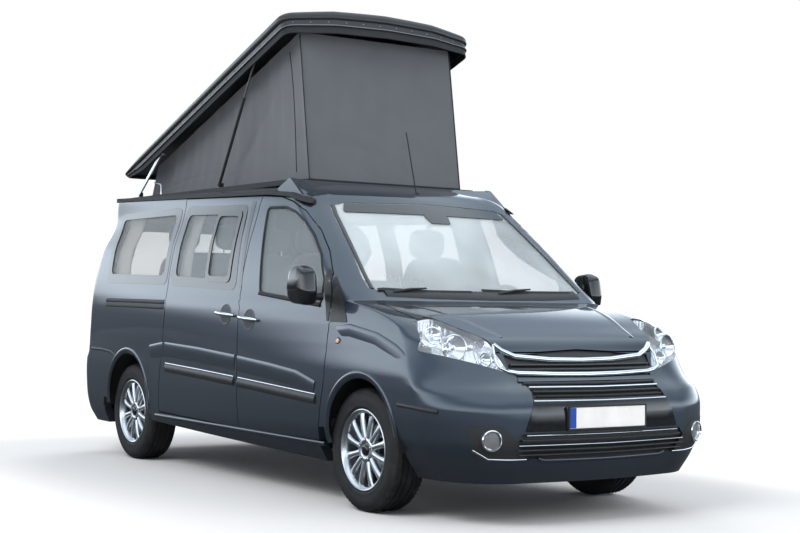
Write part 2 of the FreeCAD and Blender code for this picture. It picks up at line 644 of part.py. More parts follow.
# ---- floor, wheel liners and running gear ----
floor = cabin.common(box(-2340, 1180, -1000, 1000, floor_top - floor_thick, floor_top))
floor = floor.cut(well_space).cut(parts["body_side_right"]).cut(parts["body_side_left"])
for side_name, sign in SIDES:
    y0, y1 = span(sign, sill_beam_out, 1000)
    floor = floor.cut(box(-1020, 1130, y0, y1, 300, 600))
beams = []
for side_name, sign in SIDES:
    y0, y1 = span(sign, sill_beam_in, sill_beam_out)
    beam = box(-1125, 995, y0, y1, sill_foot, floor_top - 10)
    beams.append(beam.cut(parts["body_side_" + side_name]))
parts["floor_pan"] = fused([max(floor.Solids, key=lambda s: s.Volume)] + beams)

liners = []
for x, depth in ((front_axle_x, well_depth_y), (rear_axle_x, rear_well_y)):
    drum = Part.makeCylinder(well_radius + liner, lip_y - depth, Vec(x, -lip_y, hub_height), Y_AXIS)
    hollow = Part.makeCylinder(well_radius, lip_y - depth - liner, Vec(x, -lip_y, hub_height), Y_AXIS)
    arch = drum.cut(hollow).common(box(x - 500, x + 500, -1000, 0, hub_height + 20, 1000))
    liners.append(arch)
axle_room = rod(axle_radius + shut_gap, Vec(rear_axle_x, -800, hub_height), Vec(rear_axle_x, 0, hub_height))
door_room = door_holes.common(box(900, 1300, -1000, -800, 300, 800))
wheel_liners = Part.makeCompound([arch.cut(axle_room).cut(door_room) for arch in liners])
parts["wheel_liners"] = both_sides(wheel_liners)

engine_box = (1560, 2050, 330, 300, 820)
parts["engine"] = box(engine_box[0], engine_box[1], -engine_box[2], engine_box[2], engine_box[3], engine_box[4])

subframe = [box(1250, 1330, -430, 430, 240, 300), box(1850, 1930, -430, 430, 240, 300),
            box(1040, 1930, -430, -350, 240, 300), box(1040, 1930, 350, 430, 240, 300),
            box(1040, 1110, -430, -350, 290, floor_top - floor_thick),
            box(1040, 1110, 350, 430, 290, floor_top - floor_thick)]
ARM_Z = (196.0, 216.0)
for sign in (-1, 1):
    y0, y1 = span(sign, 400, kingpin_y)
    subframe.append(box(front_axle_x - 34, front_axle_x + 34, y0, y1, ARM_Z[0], ARM_Z[1]))
    subframe.append(Part.makeCylinder(34, 20, Vec(front_axle_x, sign * kingpin_y, ARM_Z[0]), Z_AXIS))
    y0, y1 = span(sign, 400, 430)
    subframe.append(box(front_axle_x - 34, front_axle_x + 34, y0, y1, ARM_Z[0], 300))
    y0, y1 = span(sign, 560, 640)
    strut = Part.makeCylinder(26, 400, Vec(front_axle_x, sign * 606, 470), Z_AXIS)
    liner_drum = Part.makeCylinder(well_radius, 2000, Vec(front_axle_x, -1000, hub_height), Y_AXIS)
    subframe.append(strut.common(liner_drum))
parts["front_subframe"] = fused(subframe)

knuckle_names = {}
for side_name, sign in SIDES:
    y0, y1 = span(sign, 664, 730)
    body = box(front_axle_x - 45, front_axle_x + 45, y0, y1, 250, 414)
    ball = Part.makeCylinder(20, 40, Vec(front_axle_x, sign * kingpin_y, ARM_Z[1] + seat_gap), Z_AXIS)
    start = Vec(front_axle_x, sign * 725, hub_height)
    spindle = rod(28.0, start, start + Vec(0, sign * 100, 0))
    parts["knuckle_" + side_name] = fused([body, ball, spindle])

axle_beam = rod(axle_radius, Vec(rear_axle_x, -650, hub_height), Vec(rear_axle_x, 650, hub_height))
rear_axle = [axle_beam]
for sign in (-1, 1):
    start = Vec(rear_axle_x, sign * 640, hub_height)
    rear_axle.append(rod(28.0, start, start + Vec(0, sign * 185, 0)))
    y0, y1 = span(sign, 560, 620)
    rear_axle.append(side_prism(((rear_axle_x - 40, 290), (-1080, 350), (-1080, 430), (-1180, 430),
                                 (rear_axle_x - 40, 372)), y0, y1))
parts["rear_axle"] = fused(rear_axle)
parts["fuel_tank"] = box(-700, 300, -300, 520, 240, 430)
pipe_z = 250.0
pipe = [rod(27.0, Vec(1020, -390, pipe_z), Vec(-1700, -430, pipe_z)),
        rod(75.0, Vec(-900, -418, pipe_z + 20), Vec(-450, -412, pipe_z + 20)),
        rod(26.0, Vec(-1700, -430, pipe_z), Vec(-2240, -506, pipe_z + 10)),
        box(900, 940, -400, -380, pipe_z, floor_top - floor_thick),
        box(-700, -660, -425, -405, pipe_z, floor_top - floor_thick),
        box(-1980, -1940, -480, -460, pipe_z, floor_top - floor_thick)]
parts["exhaust"] = fused(pipe)

# ---- wheels ----
TYRE_SECTION = ((rim_radius, -86), (268, -tyre_width / 2), (312, -98), (tyre_radius, -72), (tyre_radius, 72),
                (312, 98), (268, tyre_width / 2), (rim_radius, 86))


def ring(section, centre):
    """A ring about a line through centre along Y; section rows are (radius, offset along Y)."""
    points = [Vec(r, y, 0) for r, y in section]
    face = Part.Face(Part.makePolygon(points + [points[0]]))
    solid = face.revolve(Vec(0, 0, 0), Y_AXIS, 360)
    solid.translate(centre)
    return solid


def rim(centre, sign):
    """A twelve-spoke wheel: barrel, outer flange, spokes, hub with its bore and five bolt holes."""
    face_y = 66.0
    barrel = ((rim_radius - 12, -84), (rim_radius, -84), (rim_radius, 90), (rim_radius + 8, 92),
              (rim_radius + 8, 98), (rim_radius - 14, 98), (rim_radius - 12, 80))
    hub = ((28 + pin_clearance, -14), (72, -14), (72, face_y + 12), (28 + pin_clearance, face_y + 12))
    pieces = [ring(barrel, Vec(0, 0, 0)), ring(hub, Vec(0, 0, 0)),
              Part.makeCylinder(30, 16, Vec(0, face_y - 4, 0), Y_AXIS)]
    for k in range(spokes):
        points = [Vec(60, face_y - 12, -15), Vec(60, face_y - 12, 15), Vec(202, face_y + 8, 20),
                  Vec(202, face_y + 8, -20)]
        spoke = Part.Face(Part.makePolygon(points + [points[0]])).extrude(Vec(0, 20, 0))
        spoke.rotate(Vec(0, 0, 0), Y_AXIS, (k + 0.5) * 360 / spokes)
        pieces.append(spoke)
    wheel = fused(pieces)
    for k in range(5):
        angle = math.radians(90 + 72 * k)
        hole = Part.makeCylinder(9, 40, Vec(54 * math.cos(angle), face_y - 5, 54 * math.sin(angle)), Y_AXIS)
        wheel = wheel.cut(hole)
    if sign < 0:
        wheel = reflect(wheel)
    wheel.translate(centre)
    return wheel


for axle_name, x in (("front", front_axle_x), ("rear", rear_axle_x)):
    for side_name, sign in SIDES:
        centre = Vec(x, sign * track / 2, hub_height)
        parts["tyre_" + axle_name + "_" + side_name] = ring(TYRE_SECTION, centre)
        parts["rim_" + axle_name + "_" + side_name] = rim(centre, sign)

# ---- mirrors, wipers, antenna, plate and trims ----
MIRROR = ((958, 1112), (1130, 1100), (1142, 1180), (1120, 1300), (1060, 1322), (960, 1312), (944, 1200))
for side_name, sign in SIDES:
    y0, y1 = span(sign, 985, 1096)
    head = side_prism(MIRROR, y0, y1, 22)
    y0, y1 = span(sign, 890, 990)
    stalk = box(1000, 1095, y0, y1, 1125, 1165).cut(outer)
    parts["mirror_" + side_name] = fused([head, max(stalk.Solids, key=lambda s: s.Volume)])

parts["plate"] = box(nose_x - 30, nose_x, -260, 260, 497, 607).cut(outer)
aerial_foot = Vec(640, 0, 1730)
aerial = fused([rod(4.0, Vec(636, 0, 1775), Vec(511, 0, 2184)), Part.makeCone(30, 10, 70, aerial_foot, Z_AXIS)])
aerial = aerial.cut(outer).cut(parts["roof_fairing"])
parts["antenna"] = max(aerial.Solids, key=lambda s: s.Volume)

# ---- cabin ----
seat_parts = []
for sign in (-1, 1):
    y0, y1 = span(sign, 170, 690)
    cushion = box(190, 820, y0, y1, 720, 860)
    base = box(360, 760, y0 + 60, y1 - 60, floor_top, 720)
    back = side_prism(((300, 800), (200, 1400), (90, 1400), (180, 800)), y0 + 20, y1 - 20)
    head = side_prism(((190, 1400), (178, 1600), (100, 1600), (100, 1400)), y0 + 140, y1 - 140)
    seat_parts.append(fused([cushion, base, back, head]))
parts["front_seats"] = Part.makeCompound(seat_parts)
bench = fused([box(-1700, -1150, -620, 620, 480 + 250, 900), box(-1650, -1200, -560, 560, floor_top, 730),
               side_prism(((-1650, 900), (-1760, 1480), (-1860, 1480), (-1760, 900)), -620, 620)])
parts["rear_bench"] = bench
parts["kitchen_unit"] = box(-1050, -150, 420, 800, floor_top, 1130)
dash = side_prism(((1135, 760), (1135, 1120), (1385, 1120), (1385, 900), (1200, 760)), -1000, 1000)
dash = dash.common(cabin).fuse(side_prism(((1030, 800), (1010, 1100), (1135, 1120), (1135, 760)), -770, 770))
for neighbour in (well_space, parts["body_side_right"], parts["body_side_left"], parts["front_wings"]):
    dash = dash.cut(neighbour)
parts["dashboard"] = max(dash.Solids, key=lambda s: s.Volume)
wheel_centre = Vec(930, 400, 1080)
hoop = Part.makeTorus(175, 14, Vec(0, 0, 0), Z_AXIS)
spoke = box(-12, 12, -175, 175, -8, 8)
column = Part.makeCylinder(24, 160, Vec(0, 0, -160), Z_AXIS)
steering = fused([hoop, spoke, column])
steering.rotate(Vec(0, 0, 0), Y_AXIS, -58)
steering.translate(wheel_centre)
parts["steering_wheel"] = max(steering.cut(dash).Solids, key=lambda s: s.Volume)

os.makedirs("parts", exist_ok=True)
for name, shape in parts.items():
    shape.exportStep("parts/" + name + ".step")
    print(name, len(shape.Solids), round(shape.Volume / 1e6, 2), shape.isValid())
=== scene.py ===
import math
from contextlib import contextmanager

import bmesh
import bpy
import numpy as np
from mathutils import Matrix, Vector
from mathutils.bvhtree import BVHTree
from mathutils.geometry import barycentric_transform, tessellate_polygon


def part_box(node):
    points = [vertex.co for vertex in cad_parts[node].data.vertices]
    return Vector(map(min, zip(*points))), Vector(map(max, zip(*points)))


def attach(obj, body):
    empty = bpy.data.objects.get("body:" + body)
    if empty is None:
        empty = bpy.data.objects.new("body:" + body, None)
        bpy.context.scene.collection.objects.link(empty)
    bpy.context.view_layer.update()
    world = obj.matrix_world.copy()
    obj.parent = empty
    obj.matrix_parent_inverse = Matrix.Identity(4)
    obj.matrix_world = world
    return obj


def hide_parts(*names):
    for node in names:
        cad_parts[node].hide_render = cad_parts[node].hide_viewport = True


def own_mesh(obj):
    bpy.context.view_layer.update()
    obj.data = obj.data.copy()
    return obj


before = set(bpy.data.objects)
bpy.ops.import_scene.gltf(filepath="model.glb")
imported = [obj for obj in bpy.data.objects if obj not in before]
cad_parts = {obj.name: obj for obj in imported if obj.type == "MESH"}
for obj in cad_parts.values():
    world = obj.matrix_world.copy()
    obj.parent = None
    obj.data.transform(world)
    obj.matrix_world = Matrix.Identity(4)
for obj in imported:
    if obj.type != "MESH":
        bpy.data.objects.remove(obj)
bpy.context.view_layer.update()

MM = 0.001
SIDES = (("right", -1), ("left", 1))

# ---- sizes shared with the frame, in millimetres ----
NOSE_X = 2402.5
TAIL_X = -2402.5
HALF_WIDTH = 947.5
FRONT_AXLE_X = 1440.5
REAR_AXLE_X = -1559.5
HUB_HEIGHT = 332.0
HALF_TRACK = 787.0

# The body's sections: z, nose set-back, bow of the nose, half-width of the nose, corner set-back, corner
# inset, side inset, rear inset, tail set-back, tail corner radius, rake of the outline in degrees
SECTIONS = (
    (225, 48, 40, 470, 440, 150, 62, 75, 92, 130, 0),
    (330, 22, 32, 500, 420, 78, 20, 36, 22, 150, 0),
    (440, 5, 30, 535, 417, 30, 6, 18, 2, 160, 0),
    (590, 12, 30, 545, 417, 18, 0, 10, 0, 160, 0),
    (675, 52, 35, 540, 430, 18, 0, 9, 8, 160, 0),
    (735, 140, 26, 505, 480, 20, 0, 10, 50, 150, 0),
    (880, 250, 12, 535, 545, 42, 0, 12, 66, 140, 0),
    (935, 291, 4, 580, 590, 50, 1, 13, 72, 140, 0),
    (1000, 440, 20, 640, 640, 58, 3, 14, 78, 140, 0),
    (1060, 610, 35, 690, 800, 62, 6, 15, 85, 140, 0),
    (1130, 940, 60, 720, 1170, 56, 13, 18, 95, 140, 0),
    (1195, 1035, 60, 745, 1290, 55, 22, 24, 104, 140, 0),
    (1450, 1326, 88, 700, 1590, 98, 62, 64, 150, 135, 0),
    (1705, 1632, 110, 640, 1900, 160, 137, 145, 225, 130, 0),
    (1790, 1745, 90, 560, 2060, 200, 160, 150, 250, 110, 1.3),
    (1835, 1900, 80, 480, 2200, 290, 262, 262, 330, 90, 0.5),
)
RAKE_PIVOT_X = 500.0
OUTSIDE, OUTSIDE_Y = 3000, 1500  # clear of the body, where rays towards it start
COWL_ROW = 10                  # the bonnet meets the windscreen's foot here, in a crease


def arc_points(a, mid, b, count):
    """Points of the plan arc from a through mid to b, without b."""
    (ax, ay), (mx, my), (bx, by) = a, mid, b
    d = 2 * (ax * (my - by) + mx * (by - ay) + bx * (ay - my))
    sa, sm, sb = ax * ax + ay * ay, mx * mx + my * my, bx * bx + by * by
    cx = (sa * (my - by) + sm * (by - ay) + sb * (ay - my)) / d
    cy = (sa * (bx - mx) + sm * (ax - bx) + sb * (mx - ax)) / d
    start = math.atan2(ay - cy, ax - cx)
    turn = math.remainder(math.atan2(my - cy, mx - cx) - start, math.tau)
    turn += math.remainder(math.atan2(by - cy, bx - cx) - start - turn, math.tau)
    radius = math.hypot(ax - cx, ay - cy)
    return [(cx + radius * math.cos(start + turn * i / count),
             cy + radius * math.sin(start + turn * i / count)) for i in range(count)]


def quarter_points(start, end, centre, count):
    half = math.sqrt(0.5)
    mid = tuple(c + half * (s - c) + half * (e - c) for s, e, c in zip(start, end, centre))
    return arc_points(start, mid, end, count)


def plan_outline(section):
    """One plan outline of the body as points, the same number in every section."""
    z, nose, bow, nose_half, corner_back, corner_in, side_in, rear_in, tail, tail_r, rake = section
    front = (NOSE_X - nose, 0.0)
    edge = (front[0] - bow, nose_half)
    corner = (NOSE_X - corner_back, HALF_WIDTH - corner_in)
    side = (0.5 * (corner[0] + TAIL_X), HALF_WIDTH - side_in)
    rear = (TAIL_X + tail + tail_r, HALF_WIDTH - rear_in)
    end = (TAIL_X + tail, rear[1] - tail_r)
    left = arc_points(front, arc_points((edge[0], -edge[1]), front, edge, 4)[3], edge, 12)
    left += quarter_points(edge, corner, (corner[0], edge[1]), 22)
    left += arc_points(corner, side, rear, 60)
    left += quarter_points(rear, end, (rear[0], end[1]), 16)
    left += [(end[0], end[1] * (1 - i / 8)) for i in range(8)] + [(end[0], 0.0)]
    points = left + [(x, -y) for x, y in reversed(left[1:-1])]
    turn = math.radians(rake)
    return [(RAKE_PIVOT_X + (x - RAKE_PIVOT_X) * math.cos(turn), y,
             z - (x - RAKE_PIVOT_X) * math.sin(turn)) for x, y in points]


class Skin:
    """The body's outer form twice over: as the frame has it, with straight lines between its sections, and
    drawn smoothly through the same sections.  Panels are carried from the first to the second."""

    def __init__(self):
        rows = np.array([plan_outline(s) for s in SECTIONS])
        heights = np.array([s[0] for s in SECTIONS], float)
        step = np.diff(heights)[:, None, None]
        rise = np.diff(rows, axis=0) / step
        slope = np.zeros_like(rows)
        before, after = rise[:-1], rise[1:]
        weight_1, weight_2 = 2 * step[1:] + step[:-1], step[1:] + 2 * step[:-1]
        agree = before * after > 1e-12
        spread = weight_1 / np.where(agree, before, 1) + weight_2 / np.where(agree, after, 1)
        harmonic = (weight_1 + weight_2) / spread
        slope[1:-1] = np.where(agree, harmonic, 0)
        slope[0], slope[-1] = rise[0], rise[-1]
        c = COWL_ROW
        lower = rise[c - 1] + (rise[c - 1] - rise[c - 2]) * step[c - 1] / (step[c - 1] + step[c - 2])
        upper = rise[c] + (rise[c] - rise[c + 1]) * step[c] / (step[c] + step[c + 1])
        crease = np.clip((rows[c, :, :1] - 900) / 300, 0, 1)
        ruled, smooth = [], []
        for k in range(len(rows) - 1):
            parts = max(4, int(step[k, 0, 0] / 9))
            into = slope[k] if k != c else slope[k] * (1 - crease) + upper * crease
            out = slope[k + 1] if k + 1 != c else slope[k + 1] * (1 - crease) + lower * crease
            for i in range(parts + (k == len(rows) - 2)):
                t = i / parts
                ruled.append(rows[k] * (1 - t) + rows[k + 1] * t)
                smooth.append(rows[k] * (2 * t ** 3 - 3 * t ** 2 + 1) + rows[k + 1]
                              * (3 * t ** 2 - 2 * t ** 3) + step[k]
                              * (into * (t ** 3 - 2 * t ** 2 + t) + out * (t ** 3 - t ** 2)))
        ruled, smooth = np.array(ruled), np.array(smooth)
        levels, around = ruled.shape[:2]
        along = np.roll(smooth, -1, 1) - np.roll(smooth, 1, 1)
        normal = np.cross(along, np.gradient(smooth, axis=0))
        normal /= np.linalg.norm(normal, axis=2)[:, :, None]
        self.triangles = []
        for i in range(levels - 1):
            for j in range(around):
                a, b = i * around + j, i * around + (j + 1) % around
                self.triangles += [(a, b, b + around), (a, b + around, a + around)]
        self.ruled = [Vector(p) for p in ruled.reshape(-1, 3)]
        self.smooth = [Vector(p) for p in smooth.reshape(-1, 3)]
        self.normals = [Vector(p) for p in normal.reshape(-1, 3)]
        self.ruled_tree = BVHTree.FromPolygons(self.ruled, self.triangles)
        self.smooth_tree = BVHTree.FromPolygons(self.smooth, self.triangles)

    def mixed(self, face, point, source, values):
        """values at point, which lies on that face of source."""
        i, j, k = self.triangles[face]
        weights = barycentric_transform(point, source[i], source[j], source[k],
                                        Vector((1, 0, 0)), Vector((0, 1, 0)), Vector((0, 0, 1)))
        return values[i] * weights.x + values[j] * weights.y + values[k] * weights.z

    def carry(self, point):
        """Where a point of the frame's form goes on the smooth one, and the smooth form's normal there."""
        near, _, face, _ = self.ruled_tree.find_nearest(point)
        moved = self.mixed(face, near, self.ruled, self.smooth) - near
        return point + moved, self.mixed(face, near, self.ruled, self.normals).normalized()

    def cast(self, start, direction, lift):
        """The skin's point that is met from start in that direction, lift proud of it."""
        near, _, face, _ = self.smooth_tree.ray_cast(Vector(start), Vector(direction))
        if near is None:
            near, _, face, _ = self.smooth_tree.find_nearest(Vector(start))
        return near + self.mixed(face, near, self.smooth, self.normals).normalized() * lift

    def side(self, x, z, sign, lift=0.0):
        """The point of that side of the body at x and z, lift proud of it."""
        return self.cast((x, sign * OUTSIDE_Y, z), (0, -sign, 0), lift)

    def front(self, y, z, lift=0.0):
        return self.cast((OUTSIDE, y, z), (-1, 0, 0), lift)

    def back(self, y, z, lift=0.0):
        return self.cast((-OUTSIDE, y, z), (1, 0, 0), lift)

    def top(self, x, y, lift=0.0):
        return self.cast((x, y, OUTSIDE), (0, 0, -1), lift)


skin = Skin()


# ---- materials ----
class Value:
    """A shader socket that takes part in arithmetic; each result is a new node."""

    def __init__(self, shader, socket):
        self.shader = shader
        self.socket = socket

    def __add__(self, other):
        return self.shader.maths("ADD", self, other)

    def __sub__(self, other):
        return self.shader.maths("SUBTRACT", self, other)

    def __rsub__(self, other):
        return self.shader.maths("SUBTRACT", other, self)

    def __mul__(self, other):
        return self.shader.maths("MULTIPLY", self, other)

    def wave(self):
        return self.shader.maths("SINE", self)

    def smoothly(self, low, high):
        """0 below low, 1 above high, eased between."""
        return self.shader.node("MapRange", {"Value": self, "From Min": low, "From Max": high},
                                interpolation_type="SMOOTHSTEP")


class Shader:
    """A node material.  What never varies is set on its surface's own sockets."""

    def __init__(self, name, color, rough=0.5, metal=0.0, **fixed):
        self.material = bpy.data.materials.new(name)
        self.material.use_nodes = True
        self.tree = self.material.node_tree
        self.surface = self.tree.nodes["Principled BSDF"]
        self.color = tuple(color) + (1.0,)
        self.set(Base_Color=self.color, Roughness=rough, Metallic=metal, **fixed)

    def set(self, **sockets):
        for name, value in sockets.items():
            self.feed(self.surface.inputs[name.replace("_", " ")], value)
        return self

    def feed(self, socket, value):
        if isinstance(value, Value):
            self.tree.links.new(value.socket, socket)
        else:
            socket.default_value = value

    def node(self, kind, sockets=None, out=0, **settings):
        made = self.tree.nodes.new("ShaderNode" + kind)
        for key, value in settings.items():
            setattr(made, key, value)
        for key, value in (sockets or {}).items():
            self.feed(made.inputs[key], value)
        return Value(self, made.outputs[out])

    def maths(self, operation, *values):
        return self.node("Math", dict(enumerate(values)), operation=operation)

    def place(self, scale=(1, 1, 1)):
        """Object coordinates, in metres, stretched by scale."""
        return self.node("Mapping", {"Vector": self.node("TexCoord", out=3), "Scale": scale})

    def axes(self):
        split = self.node("SeparateXYZ", {"Vector": self.place()})
        return [Value(self, s) for s in split.socket.node.outputs]

    def noise(self, scale, detail=3.0, stretch=(1, 1, 1), rough=0.5):
        return self.node("TexNoise", {"Vector": self.place(stretch), "Scale": scale, "Detail": detail,
                                      "Roughness": rough})

    def cells(self, scale, stretch=(1, 1, 1), out=0):
        return self.node("TexVoronoi", {"Vector": self.place(stretch), "Scale": scale}, out=out)

    def mix(self, factor, a, b):
        """A colour between a and b."""
        made = self.tree.nodes.new("ShaderNodeMix")
        made.data_type = "RGBA"
        for socket, value in ((made.inputs[0], factor), (made.inputs[6], a), (made.inputs[7], b)):
            if not isinstance(value, (Value, float)):
                value = tuple(value)[:3] + (1.0,)
            self.feed(socket, value)
        return Value(self, made.outputs[2])

    def tint(self, factor, dark=0.8, light=1.2):
        """The material's own colour, varied by factor between dark and light times itself."""
        a = [c * dark for c in self.color[:3]]
        b = [c * light for c in self.color[:3]]
        return self.set(Base_Color=self.mix(factor, a, b))

    def bump(self, height, distance, strength=1.0):
        return self.set(Normal=self.node("Bump", {"Height": height, "Distance": distance,
                                                  "Strength": strength}))


def plastic(name, color, rough, grain=0.00006, grain_scale=1400, **fixed):
    """Moulded plastic: a fine leather-like grain, worn a little smoother in patches."""
    made = Shader(name, color, rough, **fixed)
    made.tint(made.noise(9.0, 4.0), 0.85, 1.15)
    made.set(Roughness=made.noise(30.0, 5.0) * 0.14 + (rough - 0.07))
    return made.bump(made.cells(grain_scale), grain).material


def metal(name, color, rough, brushed=(1, 1, 1), scale=400, depth=0.00002, **fixed):
    made = Shader(name, color, rough, 1.0, **fixed)
    streaks = made.noise(scale, 3.0, brushed)
    made.set(Roughness=streaks * 0.16 + (rough - 0.08))
    made.tint(made.noise(14.0, 4.0), 0.92, 1.06)
    return made.bump(streaks, depth).material


def body_paint():
    """Metallic base with flakes under a clear coat; road dust takes some gloss off the sills."""
    made = Shader("paint", (0.050, 0.068, 0.094), 0.36, 0.72, Coat_Weight=1.0, Coat_Roughness=0.035,
                  Coat_IOR=1.5, Specular_IOR_Level=0.5)
    flakes = made.cells(2600, out=1)
    sparkle = made.node("SeparateColor", {"Color": flakes})
    height = made.axes()[2]
    dust = (1.0 - height.smoothly(0.22, 0.62)) * made.noise(6.0, 6.0)
    base = made.mix(sparkle, (0.028, 0.038, 0.055), (0.058, 0.076, 0.102))
    made.set(Base_Color=made.mix(dust * 0.25, base, (0.10, 0.10, 0.095)),
             Roughness=sparkle * 0.12 + dust * 0.12 + 0.27)
    made.bump(sparkle * 0.5 + made.noise(60.0, 2.0) * 0.5, 0.00001, 0.5)
    return made.material


def clear_glass(name, tint, alpha, rough=0.02, haze=0.03, sky_reflection=0.0):
    """Thin automotive glass: see-through by its alpha, glossy, with a faint film of dust and soft pale
    patches of painted sky reflection.
    """
    made = Shader(name, tint, rough, 0.0, Specular_IOR_Level=0.9, Coat_Weight=0.0)
    # painted reflection: the second term lays pale patches of sky on the glass; the first is a film of dust
    dust_and_reflection = made.noise(7.0, 5.0) * haze + made.noise(1.5, 2.0, (0.6, 1.0, 1.0)).smoothly(0.35, 0.70) * sky_reflection
    made.set(Alpha=dust_and_reflection + alpha, Roughness=made.noise(24.0, 4.0) * 0.03 + rough)
    made.material.surface_render_method = "BLENDED"
    return made.bump(made.noise(2.2, 1.0), 0.0004, 0.3).material


def tyre_rubber():
    made = Shader("tyre_rubber", (0.016, 0.016, 0.017), 0.72, Specular_IOR_Level=0.35)
    dust = made.noise(22.0, 6.0).smoothly(0.42, 0.75)
    made.set(Base_Color=made.mix(dust * 0.5, (0.013, 0.013, 0.014), (0.040, 0.038, 0.035)),
             Roughness=dust * 0.15 + 0.62)
    return made.bump(made.noise(900.0, 3.0), 0.0001).material


def tent_fabric():
    """Coated polyester: a fine plain weave over slow slack, with faint handling marks."""
    made = Shader("tent_fabric", (0.115, 0.125, 0.138), 0.78, Sheen_Weight=0.25, Sheen_Roughness=0.5)
    x, y, z = made.axes()
    weave = ((x + y) * 5200.0).wave() * 0.5 + (z * 5200.0).wave() * 0.5
    marks = made.noise(5.0, 6.0)
    made.tint(marks * 0.8 + weave * 0.12, 0.82, 1.16)
    made.set(Roughness=marks * 0.15 + 0.70)
    return made.bump(weave * 0.02 + made.noise(11.0, 5.0) * 0.98, 0.0022, 0.9).material


def seat_cloth(name, color):
    made = Shader(name, color, 0.88, Sheen_Weight=0.4, Sheen_Roughness=0.45)
    x, y, z = made.axes()
    weave = (x * 2600.0 + y * 2600.0).wave() * (z * 2600.0 - y * 1300.0).wave()
    made.tint(made.noise(40.0, 5.0) * 0.7 + weave * 0.3, 0.7, 1.35)
    return made.bump(weave, 0.0004).material


def furniture():
    """Light laminate with a long grain."""
    made = Shader("furniture", (0.52, 0.47, 0.40), 0.45)
    grain = made.noise(9.0, 6.0, (1.0, 1.0, 14.0))
    made.tint(grain, 0.82, 1.12)
    return made.bump(grain, 0.0001).material


def lamp_lens():
    made = Shader("lamp_lens", (0.86, 0.90, 0.94), 0.02, Specular_IOR_Level=0.8)
    made.set(Alpha=made.noise(12.0, 3.0) * 0.05 + 0.13, Roughness=made.noise(50.0, 3.0) * 0.03 + 0.01)
    return made.bump(made.noise(5.0, 2.0), 0.0004).material


def reflector(name, color, flutes):
    """Bright metallised plastic with vertical flutes."""
    made = Shader(name, color, 0.08, 1.0)
    made.set(Roughness=made.noise(70.0, 3.0) * 0.10 + 0.05)
    return made.bump((made.axes()[1] * flutes).wave(), 0.0012, 0.7).material


def red_lens():
    made = Shader("red_lens", (0.42, 0.012, 0.014), 0.08, Coat_Weight=0.8, Coat_Roughness=0.03)
    y, z = made.axes()[1:]
    facets = (y * 900.0).wave() * (z * 900.0).wave()
    made.set(Base_Color=made.mix(facets.smoothly(-0.4, 0.6), (0.26, 0.006, 0.008), (0.50, 0.02, 0.02)),
             Roughness=made.noise(40.0, 3.0) * 0.08 + 0.06)
    return made.bump(facets, 0.0006, 0.6).material


MATERIALS = {
    "paint": body_paint(),
    "black_gloss": plastic("black_gloss", (0.006, 0.007, 0.008), 0.13, 0.000004, 90, Coat_Weight=0.6,
                           Coat_Roughness=0.05),
    "black_plastic": plastic("black_plastic", (0.020, 0.021, 0.022), 0.42),
    "dark_liner": plastic("dark_liner", (0.012, 0.012, 0.012), 0.85, 0.0004, 300),
    "rubber": plastic("rubber", (0.014, 0.014, 0.015), 0.62, 0.00005, 900),
    "tyre": tyre_rubber(),
    "alloy": metal("alloy", (0.72, 0.74, 0.76), 0.30, scale=700, Coat_Weight=0.5, Coat_Roughness=0.1),
    "chrome": metal("chrome", (0.86, 0.88, 0.90), 0.07, scale=60, depth=0.000004),
    "steel": metal("steel", (0.28, 0.28, 0.28), 0.46, scale=220, depth=0.0001),
    "cast": metal("cast", (0.20, 0.20, 0.21), 0.55, scale=260, depth=0.0004),
    "disc": metal("disc", (0.42, 0.41, 0.40), 0.32, scale=900, depth=0.00004),
    "shell": plastic("shell", (0.018, 0.019, 0.021), 0.40, 0.0001, 260, Coat_Weight=0.35, Coat_Roughness=0.2),
    "tent": tent_fabric(),
    "seat": seat_cloth("seat_fabric", (0.045, 0.047, 0.052)),
    "curtain": seat_cloth("curtain", (0.62, 0.60, 0.56)),
    "trim": plastic("trim", (0.055, 0.056, 0.060), 0.7, 0.0002, 900),
    "furniture": furniture(),
    # painted reflection: the windscreen's pale tint and its soft patches stand in for the sky reflected in it
    "screen": clear_glass("screen_glass", (0.84, 0.93, 0.97), 0.27, sky_reflection=0.28),
    "glass": clear_glass("door_glass", (0.34, 0.40, 0.42), 0.24),
    "privacy": clear_glass("privacy_glass", (0.42, 0.45, 0.46), 0.20),
    "lens": lamp_lens(),
    "reflector": reflector("reflector", (0.92, 0.94, 0.97), 260.0),
    "bowl": reflector("bowl", (0.95, 0.96, 0.98), 90.0),
    "red_lens": red_lens(),
    "amber_lens": plastic("amber_lens", (0.75, 0.24, 0.02), 0.12, 0.0003, 160, Coat_Weight=0.7),
    "plate": plastic("plate", (0.86, 0.86, 0.84), 0.30, 0.00002, 500),
    "plate_band": plastic("plate_band", (0.016, 0.07, 0.36), 0.30, 0.00002, 500),
}

# material of a piece -> the record's slot that it takes its finish from
SLOTS = {name: name for name in ("paint", "black_plastic", "rubber", "tyre", "alloy", "chrome", "steel",
                                 "cast", "trim", "furniture", "plate")}
SLOTS.update(black_gloss="black_plastic", dark_liner="black_plastic", disc="steel", shell="shell_paint",
             tent="canvas", curtain="canvas", seat="seat_cloth", screen="glass",
             glass="glass", privacy="glass", lens="lamp", reflector="lamp", bowl="lamp", amber_lens="lamp",
             red_lens="red_lamp", plate_band="plate")


# ---- making pieces ----
def in_scene(name, data):
    """An object with that data, linked into the scene."""
    made = bpy.data.objects.new(name, data)
    bpy.context.scene.collection.objects.link(made)
    return made


@contextmanager
def editing(mesh):
    """A mesh's geometry opened for changes, which are written back at the end."""
    work = bmesh.new()
    work.from_mesh(mesh)
    yield work
    work.to_mesh(mesh)
    work.free()


def sliced(work, axis, at, **settings):
    """Cuts all of work's faces along the plane where that axis stands at a value."""
    spot, normal = [0.0] * 3, [0.0] * 3
    spot[axis], normal[axis] = at, 1.0
    bmesh.ops.bisect_plane(work, geom=work.verts[:] + work.edges[:] + work.faces[:], plane_co=spot,
                           plane_no=normal, **settings)


